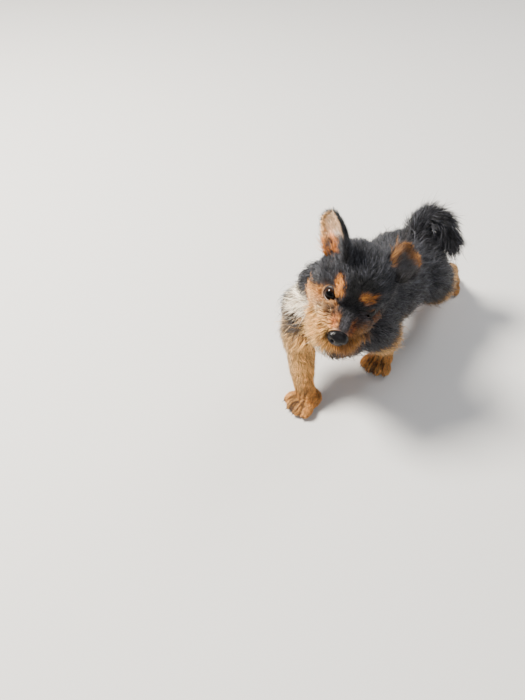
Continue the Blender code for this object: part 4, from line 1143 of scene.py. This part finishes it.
def ear_tufts(side, ear, draw, tufts):
    """Soft hair on the back, a fringe along the rim, long hair at the root and a few hairs within, pale on the right
    ear and painted dark as shade on the left.
    """
    surface = Surface(ear)
    dense = np.full(len(surface.areas), 4.6)
    roots, outs, chosen = surface.draw_roots(dense, draw)
    along, share = ear_places(side, roots)
    inside = ear_inside(side, roots, outs)
    edge = np.abs(share) > 0.80
    low = along < 0.42
    chance = np.where(low, 1.0, 0.22 if side < 0 else 0.6)
    keep = (~inside) | (edge & (draw.random(len(roots)) < 0.8)) | (draw.random(len(roots)) < chance)
    roots, outs, along, share, inside, low = (v[keep] for v in (roots, outs, along, share, inside, low))
    root, rise, across, face = (np.array(v) for v in ear_frame(side))
    lies = rise + across * (share * np.where(low, 0.15, 0.45))[:, None]
    lies = unit(lies - outs * dot(lies, outs))
    sizes = np.zeros((len(roots), 4))
    back_length = 0.0040 + 0.0055 * np.clip(1 - along, 0, 1)
    sizes[:, 0] = np.where(inside, 0.0036 * (1.15 - 0.35 * along), back_length)
    sizes[:, 0] = np.where(inside & low, 0.0095, sizes[:, 0])
    sizes[:, 1] = np.where(inside, 0.0010, 0.0012 + 0.0022 * np.clip(1 - along, 0, 1))
    sizes[:, 1] = np.where(inside & low, 0.0034, sizes[:, 1])
    sizes[:, 2] = 0.00014
    colours = ear_colours(side, roots, outs)
    grow(tufts, None, roots, outs, lies, sizes, colours, draw, clump=6, pull=0.4, wild=0.25)


# Eyes, lids, nose and claws


def eye_object(side, name):
    """An eyeball with a slightly raised cornea, dark iris and pupil, and white beyond them."""
    bm = bmesh.new()
    bmesh.ops.create_uvsphere(bm, u_segments=72, v_segments=56, radius=EYE_RADIUS)
    turn = gaze(side).to_track_quat("Z", "Y").to_matrix().to_4x4()
    for vert in bm.verts:
        angle = math.acos(max(-1, min(1, vert.co.z / EYE_RADIUS)))
        vert.co *= 1 + 0.055 * math.exp(-((angle / math.radians(38)) ** 4))
    angles = np.array([math.degrees(math.acos(max(-1, min(1, v.co.normalized().z)))) for v in bm.verts])
    bmesh.ops.transform(bm, matrix=Matrix.Translation(eye_place(side)) @ turn, verts=bm.verts)
    eye = object_of(bm, name)
    below = unit(corners_of(eye.data) - np.array(eye_place(side))) @ np.array(HEAD_TURN @ Vector((0.25, 0, -1)))
    colour = np.array([(0.030, 0.020, 0.018)] * len(angles))
    colour = mixed(colour, (0.62, 0.52, 0.46), ramp(angles - 51, 0.8) * ramp(below - 0.50, 0.05))
    colour = mixed(colour, (0.022, 0.009, 0.004), ramp(50 - angles, 2.0))
    colour = mixed(colour, (0.001, 0.001, 0.001), ramp(36 - angles, 2.5))
    paint(eye.data, colour)
    eye.data.shade_smooth()
    return eye


def lids_object(side, name):
    """Rolled dark lids round the opening of the eye."""
    outward = gaze(side)
    across = outward.cross(HEAD_TURN @ Vector((0, 0, 1))).normalized()
    rise = across.cross(outward).normalized()
    bm = bmesh.new()
    around, sides = 64, 12
    loops = []
    pale = []
    for step in range(around):
        angle = step * math.tau / around
        upper = math.sin(angle) > 0
        tall = 0.80 if upper else 0.86
        spread = math.radians(57)
        way = across * math.cos(angle) + rise * math.sin(angle) * tall
        centre = eye_place(side) + (outward * math.cos(spread) + way * math.sin(spread)).normalized() * (EYE_RADIUS + 0.0002)
        radius = (0.00095 if upper else 0.00070) * (0.55 + 0.45 * abs(math.sin(angle)))
        radial = (centre - eye_place(side)).normalized()
        outside = (way - radial * way.dot(radial)).normalized()
        loop = []
        for side_step in range(sides):
            bend = side_step * math.tau / sides
            pale.append(max(0.0, -math.sin(angle)) ** 0.4 * max(0.0, -math.cos(bend - 0.5)) ** 3)
            loop.append(bm.verts.new(centre + outside * (radius * 1.5 * math.cos(bend) + radius) + radial * radius * math.sin(bend)))
        loops.append(loop)
    for low, high in zip(loops, loops[1:] + loops[:1]):
        for corner in range(sides):
            after = (corner + 1) % sides
            bm.faces.new((low[corner], low[after], high[after], high[corner]))
    bmesh.ops.recalc_face_normals(bm, faces=bm.faces)
    lids = object_of(bm, name)
    share = np.clip(np.array(pale) * 2.2 - 1.0, 0, 1)
    paint(lids.data, mixed(np.array([(0.018, 0.013, 0.012)] * len(share)), (0.80, 0.66, 0.58), share))
    lids.data.shade_smooth()
    return lids


def nose_object():
    """A moist nose: broad above, grooved down the middle, with comma-shaped nostrils."""
    bm = bmesh.new()
    bmesh.ops.create_icosphere(bm, subdivisions=6, radius=1.0)
    size = np.array(NOSE_SIZE) * np.array(NOSE_FULLNESS)
    for vert in bm.verts:
        x, y, z = vert.co
        shape = np.array((x, y, z))
        shape[1] *= 1.0 - 0.22 * max(0.0, -z) + 0.04 * max(0.0, z)
        shape[0] *= 1.0 - 0.12 * max(0.0, -z)
        place = shape * size
        inward = np.array(vert.co) * np.array((1.0, 0.7, 0.8))
        for side in (-1, 1):
            hole = math.exp(-(((y - side * 0.50) / 0.20) ** 2 + ((z + 0.02) / 0.24) ** 2)) if x > 0 else 0.0
            slit = math.exp(-(((y - side * 0.86) / 0.20) ** 2 + ((z + 0.22) / 0.12) ** 2)) if x > -0.2 else 0.0
            wing = math.exp(-(((y - side * 0.62) / 0.30) ** 2 + ((z - 0.42) / 0.20) ** 2)) if x > 0 else 0.0
            place = place - inward * (0.0027 * hole + 0.0012 * slit - 0.00030 * wing)
        if x > 0:
            groove = math.exp(-((y / 0.07) ** 2)) * max(0.0, min(1.0, 0.5 - z))
            place = place - inward * 0.00045 * groove
        vert.co = place
    x, y, z = NOSE_SEAT
    bmesh.ops.transform(bm, matrix=Matrix.Translation(on_head(x, y, z)) @ HEAD_TURN.to_4x4(), verts=bm.verts)
    nose = object_of(bm, "nose_leather")
    nose.data.shade_smooth()
    return nose


def claws_object():
    """Short curved claws, one at the tip of each toe."""
    bm = bmesh.new()
    sides, rings = 10, 7
    for leg in LEG_JOINTS:
        for middle, toe_turn, size in toe_places(leg):
            ahead = toe_turn @ Vector((1, 0, 0))
            root = middle + ahead * 0.0052 * size + Vector((0, 0, 0.0008))
            loops = []
            for ring in range(rings):
                share = ring / (rings - 1)
                centre = root + ahead * CLAW_LENGTH * share - Vector((0, 0, 0.0024 * share**2))
                radius = 0.0009 * (1 - share) ** 0.7 + 0.00008
                loop = []
                for side in range(sides):
                    angle = side * math.tau / sides
                    offset = Vector((0, math.cos(angle) * radius * 0.75, math.sin(angle) * radius))
                    loop.append(bm.verts.new(centre + toe_turn @ offset))
                loops.append(loop)
            for low, high in zip(loops, loops[1:]):
                for side in range(sides):
                    after = (side + 1) % sides
                    bm.faces.new((low[side], low[after], high[after], high[side]))
            bm.faces.new(loops[0][::-1])
            bm.faces.new(loops[-1])
    bmesh.ops.recalc_face_normals(bm, faces=bm.faces)
    claws = object_of(bm, "claws")
    claws.data.shade_smooth()
    return claws


# Materials


def material_of(name):
    material = bpy.data.materials.new(name)
    material.use_nodes = True
    return material, material.node_tree.nodes, material.node_tree.links


def shader_of(nodes, **values):
    shader = nodes["Principled BSDF"]
    for key, value in values.items():
        shader.inputs[key.replace("_", " ")].default_value = value
    return shader


def noise_node(nodes, links, scale, detail=4.0):
    where = nodes.new("ShaderNodeTexCoord")
    noise = nodes.new("ShaderNodeTexNoise")
    noise.inputs["Scale"].default_value = scale
    noise.inputs["Detail"].default_value = detail
    links.new(where.outputs["Object"], noise.inputs["Vector"])
    return noise


def painted_colour(nodes, links, shader, scale, low, high):
    """The stored colours, markings with painted light and shade, with a fine procedural unevenness on top."""
    marks = nodes.new("ShaderNodeVertexColor")
    marks.layer_name = "MarkingsAndPaintedLight"
    noise = noise_node(nodes, links, scale)
    level = nodes.new("ShaderNodeMapRange")
    level.inputs["To Min"].default_value = low
    level.inputs["To Max"].default_value = high
    links.new(noise.outputs["Fac"], level.inputs["Value"])
    tone = nodes.new("ShaderNodeVectorMath")
    tone.operation = "SCALE"
    links.new(marks.outputs["Color"], tone.inputs[0])
    links.new(level.outputs["Result"], tone.inputs["Scale"])
    links.new(tone.outputs["Vector"], shader.inputs["Base Color"])


def bumped(nodes, links, shader, texture_output, strength, distance):
    bump = nodes.new("ShaderNodeBump")
    bump.inputs["Strength"].default_value = strength
    bump.inputs["Distance"].default_value = distance
    links.new(texture_output, bump.inputs["Height"])
    links.new(bump.outputs["Normal"], shader.inputs["Normal"])


def coat_material():
    material, nodes, links = material_of("coat")
    shader = shader_of(nodes, Roughness=0.44, Sheen_Weight=0.04, Sheen_Roughness=0.4)
    shader.inputs["Specular IOR Level"].default_value = 0.24
    painted_colour(nodes, links, shader, 900.0, 0.72, 1.28)
    return material


def skin_material():
    material, nodes, links = material_of("skin")
    shader = shader_of(nodes, Roughness=0.62)
    painted_colour(nodes, links, shader, 400.0, 0.6, 1.1)
    noise = noise_node(nodes, links, 2200.0)
    bumped(nodes, links, shader, noise.outputs["Fac"], 0.5, 0.0003)
    return material


def lid_material():
    material, nodes, links = material_of("lids")
    shader = shader_of(nodes, Roughness=0.42, IOR=1.30)
    painted_colour(nodes, links, shader, 1500.0, 0.7, 1.3)
    noise = noise_node(nodes, links, 1500.0)
    bumped(nodes, links, shader, noise.outputs["Fac"], 0.4, 0.0002)
    return material


def eye_material():
    material, nodes, links = material_of("eye")
    shader = shader_of(nodes, Roughness=0.05, IOR=1.22)
    painted_colour(nodes, links, shader, 1600.0, 0.75, 1.25)
    return material


def nose_material():
    material, nodes, links = material_of("nose_leather")
    shader = shader_of(nodes, Roughness=0.20, IOR=1.22, Coat_Weight=0.20, Coat_Roughness=0.05, Coat_IOR=1.28)
    where = nodes.new("ShaderNodeTexCoord")
    pebbles = nodes.new("ShaderNodeTexVoronoi")
    pebbles.inputs["Scale"].default_value = 1700.0
    links.new(where.outputs["Object"], pebbles.inputs["Vector"])
    tone = nodes.new("ShaderNodeValToRGB")
    tone.color_ramp.elements[0].color = (0.009, 0.008, 0.009, 1)
    tone.color_ramp.elements[1].color = (0.003, 0.003, 0.003, 1)
    links.new(pebbles.outputs["Distance"], tone.inputs["Fac"])
    links.new(tone.outputs["Color"], shader.inputs["Base Color"])
    invert = nodes.new("ShaderNodeMath")
    invert.operation = "SUBTRACT"
    invert.inputs[0].default_value = 1.0
    links.new(pebbles.outputs["Distance"], invert.inputs[1])
    bumped(nodes, links, shader, invert.outputs["Value"], 0.55, 0.00025)
    return material


def claw_material():
    material, nodes, links = material_of("claw")
    shader = shader_of(nodes, Roughness=0.35)
    noise = noise_node(nodes, links, 700.0)
    tone = nodes.new("ShaderNodeValToRGB")
    tone.color_ramp.elements[0].color = (0.030, 0.020, 0.015, 1)
    tone.color_ramp.elements[1].color = (0.130, 0.090, 0.065, 1)
    links.new(noise.outputs["Fac"], tone.inputs["Fac"])
    links.new(tone.outputs["Color"], shader.inputs["Base Color"])
    return material


def floor_material():
    material, nodes, links = material_of("floor")
    shader_of(nodes, Base_Color=(0.58, 0.57, 0.555, 1), Roughness=0.85)
    return material


# Putting it together

MATERIALS = {
    "coat": coat_material(),
    "skin": skin_material(),
    "lids": lid_material(),
    "eye": eye_material(),
    "nose_leather": nose_material(),
    "claw": claw_material(),
}
DRAW = np.random.default_rng(11)


def place(piece, material, slot, *nodes):
    """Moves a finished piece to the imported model's place and ties it to the frame."""
    piece.data.transform(Matrix.Translation(SHIFT))
    piece.data.materials.clear()
    piece.data.materials.append(MATERIALS[material])
    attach(piece, "root")
    if nodes:
        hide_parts(*nodes)


def bare(fields, outs):
    """Places that carry no hair: the eyes, the nose and the soles."""
    head = fields.head
    none = fields.places[:, 2] < 0.0016
    none |= (fields.places[:, 2] < 0.004) & (outs[:, 2] < -0.75)
    for side in (-1, 1):
        gap = np.linalg.norm(head - np.array((EYE_SEAT[0], side * EYE_SEAT[1], EYE_SEAT[2])), axis=1)
        none |= gap < 0.60
    none |= np.linalg.norm((head - np.array(NOSE_SEAT)) / np.array((0.56, 0.78, 0.68)), axis=1) < 1
    return none


def region_of(fields):
    """Name of the coat piece that each place belongs to."""
    label = fields.label().astype(object)
    x, y, z = fields.head.T
    head = label == "head"
    label[head & (x > 1.7) & (z < 0.0)] = "muzzle"
    label[head & ~((x > 1.7) & (z < 0.0)) & (z < 0.25)] = "cheeks"
    label[(label == "ruff") | (label == "mane")] = "neck"
    torso = label == "torso"
    label[torso & (fields.places[:, 1] > 0.036)] = "rump"
    return label


def make_coat(skin):
    surface = Surface(skin)
    tree = BVHTree.FromPolygons(surface.corners.tolist(), surface.index.tolist())
    spread_fields = Fields(surface.middles)
    dense = spread_fields.sizes()[:, 3]
    roots, outs, chosen = surface.draw_roots(dense, DRAW)
    fields = Fields(roots)
    keep = ~bare(fields, outs)
    roots, outs = roots[keep], outs[keep]
    fields = Fields(roots)
    lies = fields.lie(outs)
    sizes = fields.sizes()
    on_tail = fields.label() == "tail"
    sizes[:, 1] += np.clip(-outs[:, 2], 0, 1) * on_tail * 0.012
    x, y, z = fields.head.T
    beard = (fields.label() == "head") & (x > 2.1) & (z < -0.95)
    hang = np.stack([0.62 + 0 * x, 0.50 * np.tanh(2.5 * y), -0.60 + 0 * x], 1) @ HEAD_AXES.T
    lies[beard] = unit(unit(hang) + outs * 0.35)[beard]
    free = on_tail | beard
    colours = Fields(roots + outs * HAIR_RISE + lies * sizes[:, :1] * 0.75).colours()
    region = region_of(fields)
    trunk = [centre for centre, wide, high in TRUNK]
    unwraps = {
        "neck": unwrap_chain((NECK_BASE, NECK_TOP), (NECK_RADIUS, NECK_RADIUS)),
        "tail": unwrap_chain(TAIL_POINTS, [0.005] * len(TAIL_POINTS)),
        "torso": unwrap_chain(trunk, [0.024] * len(trunk)),
    }
    unwraps["rump"] = unwraps["torso"]
    for leg, joints in LEG_JOINTS.items():
        unwraps[leg] = unwrap_chain(joints, FORE_RADII if leg.startswith("front") else HIND_RADII)
    for name in sorted(set(region)):
        here = region == name
        short = sizes[here, 0] < 0.0075
        # Pieces that are mostly short hair take two rings a tuft, the others three
        rings = 2 if short.mean() > 0.5 else 3
        tufts = Tufts(rings)
        clump = 7 if name in ("muzzle", "cheeks") else 10
        wild = 0.34 if name in ("muzzle", "cheeks", "head") else 0.26
        follow = ~free[here]
        grow(tufts, tree, roots[here], outs[here], lies[here], sizes[here], colours[here], DRAW, clump, 0.65, wild, follow)
        unwrap = unwraps.get(name, unwrap_head)
        place(coat_piece("coat_" + name, tufts, unwrap), "coat", "coat")


def make_ears():
    for side, word in ((-1, "right"), (1, "left")):
        ear = make_ear(side, "ear_" + word + "_skin")
        tufts = Tufts(2)
        ear_tufts(side, ear, DRAW, tufts)

        def unwrap(roots, side=side):
            along, share = ear_places(side, roots)
            return np.stack([0.5 + 0.38 * share, 0.03 + 0.8 * np.clip(along, 0, 1.15)], 1)

        surface = Surface(ear)
        paint(ear.data, ear_colours(side, surface.corners, surface.normals) * 0.8)
        ear.data.shade_smooth()
        place(coat_piece("coat_ear_" + word, tufts, unwrap), "coat", "coat")
        place(ear, "skin", "skin", "ear_" + word)


def make_floor():
    bm = bmesh.new()
    bmesh.ops.create_grid(bm, x_segments=1, y_segments=1, size=20.0)
    floor = object_of(bm, "floor")
    floor.data.materials.append(floor_material())


def area_light(name, place_at, size, power, colour):
    data = bpy.data.lights.new(name, "AREA")
    data.shape = "DISK"
    data.size = size
    data.energy = power
    data.color = colour
    lamp = bpy.data.objects.new(name, data)
    bpy.context.scene.collection.objects.link(lamp)
    lamp.location = place_at
    target = Vector((0, -0.02, 0.07))
    lamp.rotation_euler = (Vector(place_at) - target).to_track_quat("Z", "Y").to_euler()


def make_light():
    area_light("key", (-0.80, -0.40, 1.10), 0.45, 82.0, (1.0, 0.95, 0.86))
    area_light("fill", (0.95, -0.60, 0.65), 0.9, 4.0, (0.92, 0.96, 1.0))
    area_light("rim", (0.10, 0.95, 0.95), 0.6, 10.0, (0.97, 0.98, 1.0))
    world = bpy.data.worlds.new("studio")
    bpy.context.scene.world = world
    world.use_nodes = True
    background = world.node_tree.nodes["Background"]
    background.inputs["Color"].default_value = (0.93, 0.95, 1.0, 1)
    # Darker towards the horizon, where it meets the far floor without an edge
    nodes, links = world.node_tree.nodes, world.node_tree.links
    where = nodes.new("ShaderNodeTexCoord")
    split = nodes.new("ShaderNodeSeparateXYZ")
    level = nodes.new("ShaderNodeMapRange")
    level.interpolation_type = "SMOOTHSTEP"
    level.inputs["From Min"].default_value = -0.02
    level.inputs["From Max"].default_value = 0.45
    level.inputs["To Min"].default_value = 0.29
    level.inputs["To Max"].default_value = 0.44
    links.new(where.outputs["Generated"], split.inputs["Vector"])
    links.new(split.outputs["Z"], level.inputs["Value"])
    links.new(level.outputs["Result"], background.inputs["Strength"])


def main():
    skin = make_skin()
    make_coat(skin)
    surface = Surface(skin)
    paint(skin.data, Fields(surface.corners + surface.normals * HAIR_RISE).colours() * 0.55)
    skin.data.shade_smooth()
    flesh = [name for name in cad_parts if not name.startswith(("ear", "eye", "nose"))]
    place(skin, "skin", "skin", *flesh)
    make_ears()
    for side, word in ((-1, "right"), (1, "left")):
        place(eye_object(side, "eyeball_" + word), "eye", "eye", "eye_" + word)
        place(lids_object(side, "lids_" + word), "lids", "skin")
    place(nose_object(), "nose_leather", "nose_leather", "nose")
    place(claws_object(), "claw", "claw")
    make_floor()
    make_light()


main()
